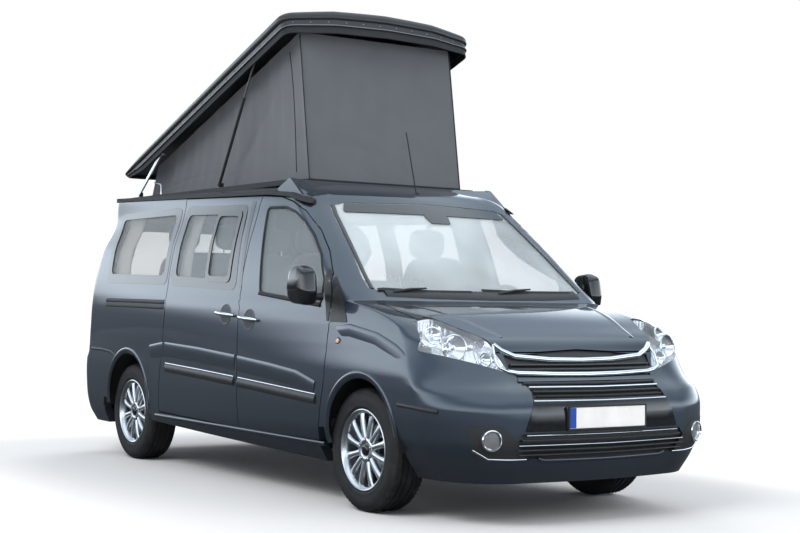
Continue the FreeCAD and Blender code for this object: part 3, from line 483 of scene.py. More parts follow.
def thickened(piece, thickness):
    """Gives a sheet that thickness, in metres, behind its face."""
    wall = piece.modifiers.new("thickness", "SOLIDIFY")
    wall.thickness = thickness
    wall.offset = -1.0


def grid_faces(columns, rows):
    """The faces of a grid whose points go up one column after the other."""
    step = rows + 1
    return [(c * step + r, (c + 1) * step + r, (c + 1) * step + r + 1, c * step + r + 1)
            for c in range(columns) for r in range(rows)]


def sided(points, sign):
    """Points given as (y, height) for the left side, put on the side of that sign."""
    return [(sign * y, z) for y, z in points]


def finish_piece(name, mesh, body, material):
    """Puts a mesh, already in metres, on a body with its material."""
    piece = in_scene(name, mesh)
    mesh.materials.clear()
    mesh.materials.append(MATERIALS[material])
    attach(piece, body)
    return piece


def shade(mesh, degrees=35.0):
    """Smooth shading, with edges sharper than that kept crisp."""
    mesh.polygons.foreach_set("use_smooth", [True] * len(mesh.polygons))
    limit = math.radians(degrees)
    with editing(mesh) as work:
        for edge in work.edges:
            edge.smooth = len(edge.link_faces) == 2 and edge.calc_face_angle(0.0) < limit


SAME_POINT = 1e-6              # metres between points that are taken for one
BEVEL_FROM = math.radians(30)


def solid(name, points, faces, body, material, degrees=35.0, bevel=0.0):
    """A closed piece from points in millimetres.  Its normals are turned outwards."""
    mesh = bpy.data.meshes.new(name)
    with editing(mesh) as work:
        corners = [work.verts.new(Vector(p) * MM) for p in points]
        for face in faces:
            try:
                work.faces.new([corners[i] for i in face])
            except ValueError:     # a face given twice, where two closed shapes meet
                pass
        bmesh.ops.remove_doubles(work, verts=work.verts, dist=SAME_POINT)
        bmesh.ops.recalc_face_normals(work, faces=work.faces)
        if bevel:
            edges = [e for e in work.edges if len(e.link_faces) == 2 and e.calc_face_angle(0) > BEVEL_FROM]
            bmesh.ops.bevel(work, geom=edges, offset=bevel * MM, segments=2, profile=0.7, affect="EDGES",
                            clamp_overlap=True)
    shade(mesh, degrees)
    return finish_piece(name, mesh, body, material)


class Form:
    """Points and faces of one piece, gathered from several closed shapes, in millimetres."""

    def __init__(self):
        self.points = []
        self.faces = []

    def add(self, points, faces):
        start = len(self.points)
        self.points += [Vector(p) for p in points]
        self.faces += [[start + i for i in face] for face in faces]
        return self

    def rings(self, rings, closed=True, capped=True):
        """A skin over rings of points, each ring with the same number of points."""
        count = len(rings[0])
        faces = []
        for r in range(len(rings) - 1):
            for i in range(count if closed else count - 1):
                j = (i + 1) % count
                faces.append((r * count + i, r * count + j, (r + 1) * count + j, (r + 1) * count + i))
        if capped:
            faces += [tuple(range(count)), tuple((len(rings) - 1) * count + i
                                                 for i in reversed(range(count)))]
        return self.add([p for ring in rings for p in ring], faces)

    def loop(self, rings):
        """Rings joined round in a circle, such as a tyre's sections."""
        return self.rings(rings + [rings[0]], capped=False)

    def box(self, low, high):
        (x0, y0, z0), (x1, y1, z1) = low, high
        return self.rings([[(x, y0, z0), (x, y1, z0), (x, y1, z1), (x, y0, z1)] for x in (x0, x1)])

    def tube(self, path, radius, around=10):
        """A round bar along path; radius may be one number or one for each point."""
        path = [Vector(p) for p in path]
        radii = radius if isinstance(radius, (list, tuple)) else [radius] * len(path)
        rings = []
        side = None
        for i, p in enumerate(path):
            ahead = (path[min(i + 1, len(path) - 1)] - path[max(i - 1, 0)]).normalized()
            if side is None:
                side = ahead.orthogonal().normalized()
            side = (side - ahead * side.dot(ahead)).normalized()
            up = ahead.cross(side)
            rings.append([p + (side * math.cos(a) + up * math.sin(a)) * radii[i]
                          for a in (math.tau * k / around for k in range(around))])
        return self.rings(rings)

    def lathe(self, profile, centre, axis, around=48):
        """A closed profile of (radius, offset along the axis) turned about the axis."""
        axis = Vector(axis).normalized()
        side = axis.orthogonal().normalized()
        up = axis.cross(side)
        rings = []
        for k in range(around):
            a = math.tau * k / around
            out = side * math.cos(a) + up * math.sin(a)
            rings.append([Vector(centre) + out * r + axis * h for r, h in profile])
        return self.loop(rings)

    def piece(self, name, body, material, degrees=35.0, bevel=0.0):
        return solid(name, self.points, self.faces, body, material, degrees, bevel)


def rounded(points, radius, steps=5):
    """A closed outline with its corners rounded."""
    out = []
    count = len(points)
    for i, p in enumerate(points):
        p = Vector(p)
        a = Vector(points[i - 1]) - p
        b = Vector(points[(i + 1) % count]) - p
        reach = min(radius / max(math.tan(a.angle(b) / 2), 0.05), a.length * 0.45, b.length * 0.45)
        start, end = p + a.normalized() * reach, p + b.normalized() * reach
        for k in range(steps + 1):
            t = k / steps
            out.append(tuple(start * (1 - t) ** 2 + p * 2 * t * (1 - t) + end * t * t))
    return out


def resampled(path, spacing):
    """Points along an open path, no more than spacing apart."""
    out = [Vector(path[0])]
    for a, b in zip(path, path[1:]):
        a, b = Vector(a), Vector(b)
        parts = max(1, math.ceil((b - a).length / spacing))
        out += [a.lerp(b, (i + 1) / parts) for i in range(parts)]
    return out


def patch(name, outline, place, body, material, lift=2.0, thick=6.0, hole=None, cell=40.0, degrees=30.0):
    """A sheet that lies on the skin within a flat outline.  place(a, b, lift) gives the skin's points."""
    rings = [outline] + ([hole] if hole else [])
    flat = bmesh.new()
    if hole:
        outer_verts = [flat.verts.new((a, b, 0)) for a, b in outline]
        inner_verts = [flat.verts.new((a, b, 0)) for a, b in hole]
        for i in range(len(outline)):
            j = (i + 1) % len(outline)
            flat.faces.new((outer_verts[i], outer_verts[j], inner_verts[j], inner_verts[i]))
    else:
        corners = [flat.verts.new((a, b, 0)) for a, b in outline]
        for triangle in tessellate_polygon([[Vector((a, b, 0)) for a, b in outline]]):
            flat.faces.new([corners[i] for i in triangle])
    spots = [p for ring in rings for p in ring]
    for axis in (0, 1):
        low, high = min(p[axis] for p in spots), max(p[axis] for p in spots)
        for k in range(1, math.ceil((high - low) / cell)):
            sliced(flat, axis, low + k * cell)
    flat.verts.index_update()
    count = len(flat.verts)
    points = [place(v.co.x, v.co.y, lift) for v in flat.verts]
    points += [place(v.co.x, v.co.y, lift - thick) for v in flat.verts]
    faces = []
    for face in flat.faces:
        ring = [v.index for v in face.verts]
        faces += [ring, [i + count for i in reversed(ring)]]
    for edge in flat.edges:
        if edge.is_boundary:
            i, j = (v.index for v in edge.verts)
            faces.append((i, j, j + count, i + count))
    flat.free()
    return solid(name, points, faces, body, material, degrees)


FADE_STEPS = 6                 # stations of a strip over which its end fades


def moulding(name, path, profile, place, body, material, spacing=40.0, degrees=40.0, fade=0.0):
    """A strip along a path on the skin.  profile rows are (across the strip, lift from the skin).  With fade,
    its ends dive that deep under the skin."""
    path = resampled(path, spacing)
    rings = []
    for i, p in enumerate(path):
        ahead = (path[min(i + 1, len(path) - 1)] - path[max(i - 1, 0)]).normalized()
        across = Vector((-ahead.y, ahead.x))
        sink = fade * (1 - min(i, len(path) - 1 - i, FADE_STEPS) / FADE_STEPS) ** 2
        rings.append([place(*(p + across * w), lift - sink) for w, lift in profile])
    return Form().rings(rings).piece(name, body, material, degrees)


def bead(width, high, sunk=3.0, steps=6):
    """The section of a strip with a rounded face."""
    turns = [math.pi * k / steps for k in range(steps + 1)]
    arc = [(width / 2 * math.cos(turn), high * math.sin(turn)) for turn in turns]
    return arc + [(-width / 2, -sunk), (width / 2, -sunk)]


def on_side(sign):
    return lambda x, z, lift: skin.side(x, z, sign, lift)


on_front, on_back, on_top = skin.front, skin.back, skin.top


# ---- the body's own panels, drawn smoothly ----
LEVEL_STEPS = ((225, 900, 22.0), (900, 1200, 7.0), (1200, 1700, 24.0), (1700, 1836, 9.0))   # from, to, step
CAD_SAME_POINT = 1e-5
SLICE_SNAP = 2e-5
SKIN_FACING = 0.93             # how nearly a face must lie along the skin to take the skin's normals


def smooth_panel(node, body, material, name=None):
    """The frame's panel with its outer and inner faces carried onto the smooth form."""
    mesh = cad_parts[node].data.copy()
    normals, loop_normals = [], []
    with editing(mesh) as work:
        bmesh.ops.remove_doubles(work, verts=work.verts, dist=CAD_SAME_POINT)
        heights = [v.co.z / MM for v in work.verts]
        low, high = min(heights), max(heights)
        for start, end, step in LEVEL_STEPS:
            for k in range(int((end - start) / step)):
                z = start + k * step
                if low < z < high:
                    sliced(work, 2, z * MM, dist=SLICE_SNAP)
        work.verts.index_update()
        for vert in work.verts:
            point, normal = skin.carry(vert.co / MM)
            vert.co = point * MM
            normals.append(normal)
        work.normal_update()
        for face in work.faces:
            face.smooth = True
            mean = sum((normals[v.index] for v in face.verts), Vector())
            facing = face.normal.dot(mean.normalized())
            for vert in face.verts:
                on_skin = abs(facing) > SKIN_FACING
                loop_normals.append(tuple(normals[vert.index] * math.copysign(1, facing) if on_skin
                                          else face.normal))
    mesh.normals_split_custom_set(loop_normals)
    piece = finish_piece(name or node + "_skin", mesh, body, material)
    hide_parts(node)
    return piece


BODY_PANELS = ("body_side_right", "body_side_left", "roof_panel", "windscreen_surround", "front_wings",
               "front_bumper", "sliding_door", "rear_bumper")
MOVING_PANELS = ("front_door_right", "front_door_left", "tailgate", "bonnet")
PANES = (("windscreen", "chassis", "screen"), ("sliding_door_glass", "chassis", "glass"),
         ("side_glass", "chassis", "privacy"), ("tailgate_glass", "tailgate", "privacy"),
         ("front_door_glass_right", "front_door_right", "glass"),
         ("front_door_glass_left", "front_door_left", "glass"))
for node in BODY_PANELS:
    smooth_panel(node, "chassis", "paint")
for node in MOVING_PANELS:
    smooth_panel(node, node, "paint")
for node, body, material in PANES:
    smooth_panel(node, body, material)

NODE_MATERIALS = {
    "tailgate_frame": "paint", "grille": "black_plastic", "headlamps": "lens", "fog_lamps": "lens",
    "roof_fairing": "paint", "roof_rails": "rubber", "roof_seal": "rubber", "tent": "tent",
    "wheel_liners": "dark_liner", "engine": "cast", "front_subframe": "cast", "rear_axle": "cast",
    "fuel_tank": "black_plastic", "exhaust": "steel", "plate": "plate", "antenna": "rubber",
    "front_seats": "seat", "rear_bench": "seat", "kitchen_unit": "furniture", "dashboard": "trim",
    "steering_wheel": "trim", "knuckle_right": "cast", "knuckle_left": "cast", "roof_shell": "shell",
    "roof_arms": "alloy", "strut_tubes": "black_plastic", "strut_rods": "steel", "floor_pan": "trim",
    "mirror_right": "paint", "mirror_left": "paint",
}
for name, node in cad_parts.items():
    kind = NODE_MATERIALS.get(name)
    if name.startswith(("tyre", "rim")):
        kind = "tyre" if name.startswith("tyre") else "alloy"
    if kind:
        node.data.materials.clear()
        node.data.materials.append(MATERIALS[kind])


# ---- windows and their trims ----
def ellipse(centre, across, high, count=28):
    return [(centre[0] + across * math.cos(math.tau * k / count),
             centre[1] + high * math.sin(math.tau * k / count)) for k in range(count)]


def window_border(name, outer, inner, sign, body, radius=64.0, inner_radius=50.0):
    """The dark printed edge of a pane, a hair proud of the glass."""
    return patch(name, rounded(outer, radius, 8), on_side(sign), body, "black_gloss", 1.6, 5.0,
                 hole=rounded(inner, inner_radius, 8), cell=60.0)


def closed_moulding(name, outline, profile, sign, body, material):
    """A strip right round an opening in the body's side."""
    path = resampled(list(outline) + [outline[0]], 30.0)[:-1]
    rings = []
    for i, p in enumerate(path):
        ahead = (path[(i + 1) % len(path)] - path[i - 1]).normalized()
        across = Vector((-ahead.y, ahead.x))
        rings.append([skin.side(*(p + across * w), sign, lift) for w, lift in profile])
    return Form().loop(rings).piece(name, body, material, 40)


REAR_PANE = ((-1962, 1232), (-960, 1218), (-963, 1740), (-1985, 1732))
REAR_CLEAR = ((-1904, 1296), (-1017, 1282), (-1030, 1692), (-1935, 1690))
SLIDING_PANE = ((-896, 1212), (26, 1182), (-50, 1722), (-902, 1745))
SLIDING_CLEAR = ((-838, 1276), (-62, 1250), (-108, 1662), (-845, 1684))
FRONT_PANE = ((325, 1172), (560, 1150), (1010, 1108), (1028, 1245), (940, 1388), (806, 1508), (682, 1592),
              (545, 1652), (415, 1686), (205, 1692))
VENT_FRAME = ((-402, 1240), (-66, 1230), (-92, 1684), (-424, 1694))
VENT_CLEAR = ((-366, 1276), (-102, 1267), (-124, 1650), (-390, 1660))
DOOR_SAIL = ((1012, 1260), (1035, 1190), (1096, 1016), (1113, 1016), (1113, 1180), (1094, 1268), (1052, 1312))
WING_SAIL = ((1126, 1012), (1300, 1012), (1262, 1080), (1216, 1180), (1168, 1222), (1112, 1276), (1126, 1185))
PILLAR_TRIM = ((60, 1196), (92, 1196), (36, 1738), (-12, 1742))
FRAME_BEAD = bead(15.0, 5.0, 4.0, 4)

for side_name, sign in SIDES:
    window_border("rear_pane_border_" + side_name, REAR_PANE, REAR_CLEAR, sign, "chassis")
    window_border("slide_pane_border_" + side_name, SLIDING_PANE, SLIDING_CLEAR, sign, "chassis")
    patch("vent_frame_" + side_name, rounded(VENT_FRAME, 46, 8), on_side(sign), "chassis", "black_gloss",
          6.0, 8.0, hole=rounded(VENT_CLEAR, 40, 8))
    door = "front_door_" + side_name
    closed_moulding("door_pane_seal_" + side_name, rounded(FRONT_PANE, 26, 3), FRAME_BEAD, sign, door,
                    "rubber")
    moulding("belt_seal_" + side_name, [(318, 1166), (560, 1143), (1006, 1101)], bead(20.0, 9.0),
             on_side(sign), door, "rubber")
    patch("door_sail_" + side_name, rounded(DOOR_SAIL, 8, 3), on_side(sign), door, "black_plastic", 3.0, 8.0)
    patch("wing_sail_" + side_name, rounded(WING_SAIL, 8, 3), on_side(sign), "chassis", "black_plastic", 2.5,
          8.0)
    patch("pillar_trim_" + side_name, rounded(PILLAR_TRIM, 10, 3), on_side(sign), "chassis", "black_gloss",
          1.4, 4.0)

# ---- strips, creases and edges of the sides ----
CREASE = ((7, -4), (3, 3.0), (-5, 5.5), (-36, 4.0), (-80, 1.6), (-120, -4))
RUB_FACE = ((27, -3), (25, 4), (16, 9), (0, 11.5), (-16, 9), (-25, 4), (-27, -3))
ROUND_LINE = bead(11.0, 5.0, 3.0, 6)
SHOULDER = ((-1154, 806), (-929, 834), (-420, 816), (106, 785), (500, 757), (815, 728), (1025, 676))
RUB_LINE = ((-1100, 676), (-926, 668), (-400, 648), (45, 628), (560, 602), (1030, 577))
RUB_TOP = tuple((x, z + 30) for x, z in RUB_LINE)
SILL_LINE = ((-1075, 340), (-400, 340), (200, 338), (1085, 334))


def between(path, low, high):
    """The part of a path from x = low to x = high."""
    def height(x):
        for (x0, z0), (x1, z1) in zip(path, path[1:]):
            if x0 <= x <= x1:
                return z0 + (z1 - z0) * (x - x0) / (x1 - x0)
        return path[-1][1] if x > path[-1][0] else path[0][1]
    low, high = max(low, path[0][0]), min(high, path[-1][0])
    return [(low, height(low))] + [p for p in path if low < p[0] < high] + [(high, height(high))]


ARCHES = (("front", 1472.5, 405, 340, 4, 196), ("rear", -1529.5, 412, 354, -6,
                                                192))   # centre, radius, degrees
ARCH_LIP = ((-15, -3), (-13, 4), (-5, 8), (6, 6), (18, 2), (26, -3))
SIDE_RUNS = (("front_door", 115.0, 1040.0), ("middle", -908.0, 78.0), ("rear", -1200.0, -944.0))
for side_name, sign in SIDES:
    for run, low, high in SIDE_RUNS:
        body = "front_door_" + side_name if run == "front_door" else "chassis"
        tag = run + "_" + side_name
        moulding("shoulder_crease_" + tag, between(SHOULDER, low, high), CREASE, on_side(sign), body,
                 "paint", 30)
        if run != "rear":
            moulding("rub_strip_" + tag, between(RUB_LINE, low + 6, high - 6), RUB_FACE, on_side(sign), body,
                     "black_plastic")
            moulding("rub_line_" + tag, between(RUB_TOP, low + 10, high - 10), ROUND_LINE, on_side(sign),
                     body, "chrome")
    moulding("sill_strip_" + side_name, SILL_LINE, bead(26.0, 9.0), on_side(sign), "chassis", "paint")
    moulding("wing_crease_" + side_name, [(1165, 985), (1331, 1002), (1600, 962), (1780, 905), (1897, 850)],
             [(w * 0.7, h * 0.8) for w, h in CREASE], on_side(sign), "chassis", "paint", 30, fade=6.0)
    moulding("rear_bumper_line_" + side_name, [(-2180, 752), (-1990, 752), (-1825, 741), (-1712, 706)],
             bead(20.0, 7.0), on_side(sign), "chassis", "black_plastic")
    moulding("front_bumper_line_" + side_name, [(1835, 602), (2000, 595), (2140, 584)], bead(22.0, 8.0),
             on_side(sign), "chassis", "black_plastic")
    for axle, x, z, radius, start, end in ARCHES:
        arc = [(x + radius * math.cos(math.radians(a)), z + radius * math.sin(math.radians(a)))
               for a in range(start, end, 6)]
        moulding("arch_lip_%s_%s" % (axle, side_name), arc, ARCH_LIP, on_side(sign), "chassis", "paint")


# ---- the sliding door's rail, door handles and lamps on the wings ----
GRIP_STEPS = 12
LOCK_BARREL = ((0.5, 0), (8, 0), (8, 5), (0.5, 5))


def door_handle(name, centre, reach, sign, body):
    """A flat black patch for the recess, dark partly as black trim and partly as painted shade in the recess,
    and a bright grip that stands over it.
    """
    x, z = centre
    # painted shade: the flat black patch stands for the recess's shade as well as its black trim
    patch(name + "_dish", ellipse((x, z), 66, 62), on_side(sign), body, "black_plastic", 1.4, 6.0, cell=30.0)
    closed_moulding(name + "_rim", ellipse((x, z), 66, 62, 36), bead(7.0, 3.0, 2.0, 4), sign, body, "paint")
    (x0, z0), (x1, z1) = reach
    grip = []
    for k in range(GRIP_STEPS + 1):
        t = k / GRIP_STEPS
        lift = 8 + 26 * math.sin(math.pi * min(max((t - 0.02) / 0.96, 0), 1)) ** 0.45
        grip.append(skin.side(x0 + (x1 - x0) * t, z0 + (z1 - z0) * t, sign, lift))
    radii = [7 + 6.5 * math.sin(math.pi * k / GRIP_STEPS) ** 0.5 for k in range(GRIP_STEPS + 1)]
    Form().tube(grip, radii, 14).piece(name + "_grip", body, "chrome", 60)
    lock = skin.side(x1 - 14, z1 - 2, sign, 9)
    Form().lathe(LOCK_BARREL, lock, (0, sign, 0), 20).piece(name + "_lock", body, "steel")


for side_name, sign in SIDES:
    door_handle("front_handle_" + side_name, (232, 1008), ((118, 1019), (339, 1006)), sign,
                "front_door_" + side_name)
    patch("wing_lamp_" + side_name, ellipse((1225, 912), 26, 15), on_side(sign), "chassis", "lens", 7.0, 8.0,
          cell=12)
    patch("wing_lamp_bulb_" + side_name, ellipse((1225, 912), 14, 8, 16), on_side(sign), "chassis",
          "amber_lens", 4.0, 4.0, cell=12)
    closed_moulding("wing_lamp_rim_" + side_name, ellipse((1225, 912), 27, 16), bead(5.0, 4.0, 2.0, 4), sign,
                    "chassis", "black_plastic")
door_handle("slide_handle_right", (-68, 1035), ((-181, 1043), (51, 1028)), -1, "chassis")
patch("rail_slot", rounded(((-1941, 1053), (-950, 1047), (-950, 1112), (-1941, 1120)), 14, 4), on_side(-1),
      "chassis", "black_plastic", 1.2, 6.0)
for k, drop in enumerate((16, 50)):
    moulding("rail_rib_%d" % k, [(-1932, 1120 - drop), (-958, 1112 - drop)], bead(15.0, 6.0), on_side(-1),
             "chassis", "rubber")
moulding("rail_edge", [(-1941, 1123), (-950, 1115)], bead(7.0, 4.0), on_side(-1), "chassis", "paint")
patch("fuel_flap", rounded(((-1330, 800), (-1190, 800), (-1190, 940), (-1330, 940)), 22, 5), on_side(1),
      "chassis", "paint", 2.2, 4.0)


# ---- mirrors ----
MIRROR_OUTLINE = ((958, 1112), (1130, 1100), (1142, 1180), (1120, 1300), (1060, 1322), (960, 1312),
                  (944, 1200))
MIRROR_GLASS = ((-38, -66), (38, -66), (38, 72), (-38, 72))


def mirror_head(side_name, sign):
    """A rounded housing over a stalk, with its glass at the back."""
    body = "front_door_" + side_name
    outline = rounded(MIRROR_OUTLINE, 44, 7)
    centre = Vector((1040, 1208))
    rings = []
    for k in range(15):
        t = -1 + 2 * k / 14
        shrink = (1 - abs(t) ** 3.2) ** 0.42 * 0.62 + 0.38 if abs(t) < 1 else 0.30
        y = sign * (1040.5 + 55.5 * t)
        rings.append([(centre.x + (x - centre.x) * shrink if x > 985
                       else x + (centre.x - x) * (1 - shrink) * 0.25, y, centre.y + (z - centre.y) * shrink)
                      for x, z in outline])
    housing = Form().rings(rings).piece("mirror_housing_" + side_name, body, "black_gloss", 50)
    Form().tube([(1045, sign * 915, 1150), (1040, sign * 960, 1150), (1035, sign * 1000, 1160)],
                [22, 19, 24], 16).piece("mirror_stalk_" + side_name, body, "black_plastic", 60)
    glass = [(957, sign * (1040 + a), 1208 + b) for a, b in rounded(MIRROR_GLASS, 18)]
    back = [(946, y, z) for x, y, z in glass]
    Form().rings([glass, back]).piece("mirror_glass_" + side_name, body, "chrome", 30)
    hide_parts("mirror_" + side_name)


for side_name, sign in SIDES:
    mirror_head(side_name, sign)


# ---- headlamps and fog lamps ----
TRAY_RIM_DEPTH = 4.0           # how far behind the lens the housing's edge lies


def lamp_tray(node, name, depth):
    """The dark bright-work housing behind a lens: the lens's own face, set back, and its walls."""
    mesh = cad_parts[node].data.copy()
    with editing(mesh) as work:
        bmesh.ops.remove_doubles(work, verts=work.verts, dist=CAD_SAME_POINT)
        inner = [f for f in work.faces if f.normal.dot(skin.carry(f.calc_center_median() / MM)[1]) < 0.6]
        bmesh.ops.delete(work, geom=inner, context="FACES")
        for k in range(1, 12):
            sliced(work, 2, (760 + 26 * k) * MM, dist=SLICE_SNAP)
        carried = {v: skin.carry(v.co / MM) for v in work.verts}
        rim = {v for e in work.edges if e.is_boundary for v in e.verts}
        for vert, (point, normal) in carried.items():
            vert.co = (point - normal * (TRAY_RIM_DEPTH if vert in rim else depth)) * MM
        work.verts.index_update()
    thickened(finish_piece(name, mesh, "chassis", "reflector"), 0.002)


BOWL_STATIONS = (0.06, 0.2, 0.35, 0.5, 0.65, 0.8, 0.92, 1.0)    # shares of a bowl's radius


def bowl(name, on_skin, forward, radius, depth, sunk):
    """A round reflector with a bright rim and its bulb, behind the lens."""
    point, normal = skin.carry(Vector(on_skin))
    axis = (normal * (1 - forward) + Vector((1, 0, 0)) * forward).normalized()
    centre = point - normal * sunk
    curve = [(radius * t, -depth * (1 - t * t)) for t in BOWL_STATIONS]
    back = [(r + 2.5, h - 2.5) for r, h in reversed(curve)]
    Form().lathe(curve + [(radius + 3, 2.0)] + back, centre, axis, 40).piece(name, "chassis", "bowl", 50)
    Form().lathe([(radius - 1, -1), (radius + 6, -1), (radius + 6, 5), (radius, 7)], centre, axis, 40) \
        .piece(name + "_rim", "chassis", "chrome", 40)
    cap = radius * 0.24
    Form().lathe([(0.5, -depth + 2), (cap, -depth + 2), (cap, -depth * 0.45), (cap * 0.6, -depth * 0.28),
                  (0.5, -depth * 0.24)], centre, axis, 24).piece(name + "_bulb", "chassis", "chrome", 40)


BOWLS = (                      # name, place, how far it looks ahead, radius, depth, how far it is sunk
    ("dip_bowl_", (2077, 754, 907), 0.62, 64, 34, 22), ("main_bowl_", (1950, 800, 975), 0.55, 44, 26, 20),
    ("side_bowl_", (2159, 612, 850), 0.62, 36, 22, 18),
)
smooth_panel("headlamps", "chassis", "lens", "headlamp_lenses")
lamp_tray("headlamps", "headlamp_trays", 74.0)
for side_name, sign in SIDES:
    for name, (x, y, z), forward, radius, depth, sunk in BOWLS:
        bowl(name + side_name, (x, sign * y, z), forward, radius, depth, sunk)

FOG_AT = (700, 448)
FOG_RECESS = ((806, 528), (782, 408), (706, 360), (500, 356), (585, 462), (646, 518))
FOG_LAMP = (
    ("fog_bezel_", ((44, -14), (56, -14), (55, 4), (50, 8), (47, 4)), "chrome"),
    ("fog_lens_", ((0.5, -24), (46, -24), (47, 0), (34, 5), (18, 7.5), (0.5, 8)), "lens"),
    ("fog_bowl_", ((0.5, -22), (16, -21), (30, -16), (42, -6), (44, -8), (32, -18), (0.5, -26)), "bowl"),
)
FOG_ACCENT = ((500, 350), (600, 350), (702, 354), (776, 400))
for side_name, sign in SIDES:
    patch("fog_recess_" + side_name, sided(rounded(FOG_RECESS, 20, 4), sign), on_front, "chassis",
          "black_plastic", 1.6, 6.0)
    moulding("fog_accent_" + side_name, sided(FOG_ACCENT, sign), bead(11.0, 5.0), on_front, "chassis",
             "chrome")
    point = skin.front(sign * FOG_AT[0], FOG_AT[1], 0)
    normal = skin.carry(point)[1]
    axis = (normal * 0.6 + Vector((1, 0, 0)) * 0.4).normalized()
    centre = point + normal * 3
    for part, section, material in FOG_LAMP:
        Form().lathe(section, centre, axis, 40).piece(part + side_name, "chassis", material, 40)
    if sign < 0:
        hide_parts("fog_lamps")

# ---- grille, bars and number plate ----
UPPER_BAR = ((-541, 917), (-500, 886), (-431, 856), (-210, 838), (0, 834), (210, 838), (431, 856), (500, 886),
             (541, 917))
LOWER_BAR = ((-500, 780), (-450, 772), (-200, 764), (0, 762), (200, 764), (450, 772), (500, 780))
moulding("upper_bar", UPPER_BAR, bead(26.0, 15.0, 4.0, 8), on_front, "chassis", "chrome", 26, 50)
moulding("lower_bar", LOWER_BAR, bead(24.0, 15.0, 4.0, 8), on_front, "chassis", "chrome", 26, 50)
for side_name, sign in SIDES:
    moulding("bar_end_" + side_name, sided(((541, 915), (556, 860), (548, 800), (500, 779)), sign),
             bead(15.0, 9.0), on_front, "chassis", "chrome", 20)
patch("bumper_brow", rounded(((-462, 748), (-474, 728), (474, 728), (462, 748), (0, 742)), 4, 2), on_front,
      "chassis", "paint", 7.0, 12.0)
patch("plate_panel", rounded(((-452, 648), (-522, 488), (522, 488), (452, 648)), 12, 3), on_front, "chassis",
      "black_gloss", 2.0, 6.0)
moulding("plate_brow", [(-452, 640), (0, 637), (452, 640)], bead(9.0, 5.0), on_front, "chassis", "chrome")
moulding("bumper_lip", [(-430, 350), (-395, 340), (0, 336), (395, 340), (430, 350)], bead(20.0, 7.0),
         on_front, "chassis", "paint")
GRILLE_SLATS = (  # height, half-width, thickness, lift, material
    (812, 478, 12, 5, "black_gloss"), (790, 484, 12, 5, "black_gloss"), (722, 452, 9, 6, "black_plastic"),
    (702, 440, 7, 8, "chrome"), (682, 436, 9, 6, "black_plastic"), (660, 428, 9, 6, "black_plastic"),
    (471, 515, 8, 8, "chrome"), (446, 540, 12, 5, "black_plastic"), (422, 560, 8, 8, "chrome"),
    (397, 566, 12, 5, "black_plastic"), (374, 552, 10, 5, "black_plastic"),
)
for z, half, thick, lift, material in GRILLE_SLATS:
    moulding("slat_%d" % z, [(-half, z), (0, z - 3), (half, z)], bead(thick, lift + 4), on_front, "chassis",
             material, 50)
plate_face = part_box("plate")[1][0] / MM
patch_x = plate_face + 1.5
band = [(patch_x, y, z) for y, z in rounded(((-256, 501), (-216, 501), (-216, 603), (-256, 603)), 4, 3)]
Form().rings([band, [(plate_face - 1, y, z) for x, y, z in band]]).piece("plate_band", "chassis",
                                                                         "plate_band")
outer = rounded(((-266, 491), (266, 491), (266, 613), (-266, 613)), 8, 3)
inner = rounded(((-258, 499), (258, 499), (258, 605), (-258, 605)), 5, 3)
frame_x = (plate_face - 12, plate_face - 12, plate_face + 3, plate_face + 3)
rings = [[(x, y, z) for y, z in line] for x, line in zip(frame_x, (inner, outer, outer, inner))]
Form().loop(rings).piece("plate_frame", "chassis", "black_plastic")

# ---- cowl, wipers and aerial ----
SCREEN_FOOT = ((-690, 1180), (-400, 1170), (0, 1166), (400, 1170), (690, 1180))
SCREEN_EDGE = ((748, 1200), (738, 1260), (700, 1430), (650, 1640), (632, 1690))
moulding("screen_foot", SCREEN_FOOT, ((26, -4), (22, 6), (0, 9), (-20, 6), (-26, -4)), on_front, "chassis",
         "black_plastic")
for side_name, sign in SIDES:
    moulding("screen_edge_" + side_name, sided(SCREEN_EDGE, sign), bead(22.0, 5.0), on_front, "chassis",
             "black_gloss")
# A black band at the screen's top, partly a sun visor band and partly painted shade under the roof fairing
patch("screen_visor", rounded(((-600, 1652), (600, 1652), (560, 1706), (0, 1716), (-560, 1706)), 12, 3),
      on_front, "chassis", "black_gloss", 1.6, 4.0, cell=60)
patch("mirror_foot", rounded(((-70, 1600), (70, 1600), (90, 1654), (-90, 1654)), 12, 3), on_front, "chassis",
      "black_gloss", 1.6, 4.0)


WIPER_BLADE = ((7, 1.5), (6, 8), (2, 12), (-2, 12), (-6, 8), (-7, 1.5))


def wiper(name, pivot, knee, blade):
    """An arm from its spindle to the middle of a thin blade on the glass."""
    start, middle = on_front(*pivot, 8), on_front(*knee, 20)
    Form().tube([on_front(*pivot, -12), start, start.lerp(middle, 0.5) + Vector((2, 0, 6)), middle],
                [13, 10, 7, 5], 10).piece(name + "_arm", "chassis", "black_plastic", 50)
    path = resampled(blade, 60)
    moulding(name + "_blade", path, WIPER_BLADE, on_front, "chassis", "rubber")


wiper("right_wiper", (-640, 1176), (-430, 1190), [(-720, 1192), (-430, 1184), (-130, 1184)])
wiper("left_wiper", (60, 1176), (310, 1196), [(-40, 1196), (310, 1190), (640, 1192)])
moulding("bonnet_vent", [(1566, -500), (1556, 0), (1566, 500)], ((7, -3), (5, 2.5), (-5, 2.5), (-7, -3)),
         on_top, "bonnet", "black_plastic")
for side_name, sign in SIDES:
    moulding("bonnet_fold_" + side_name,
             [(1520, sign * 640), (1750, sign * 560), (1950, sign * 490), (2080, sign * 452)],
             ((34, -3), (14, 1.2), (0, 4.5), (-14, 1.2), (-34, -3)), on_top, "bonnet", "paint", 30, 60)
AERIAL_FOOT = ((0.5, -12), (27, -12), (25, 4), (16, 22), (9, 34), (0.5, 38))
Form().lathe(AERIAL_FOOT, (640, 0, 1742), (-0.15, 0, 1), 28).piece("aerial_base", "chassis", "rubber", 50)

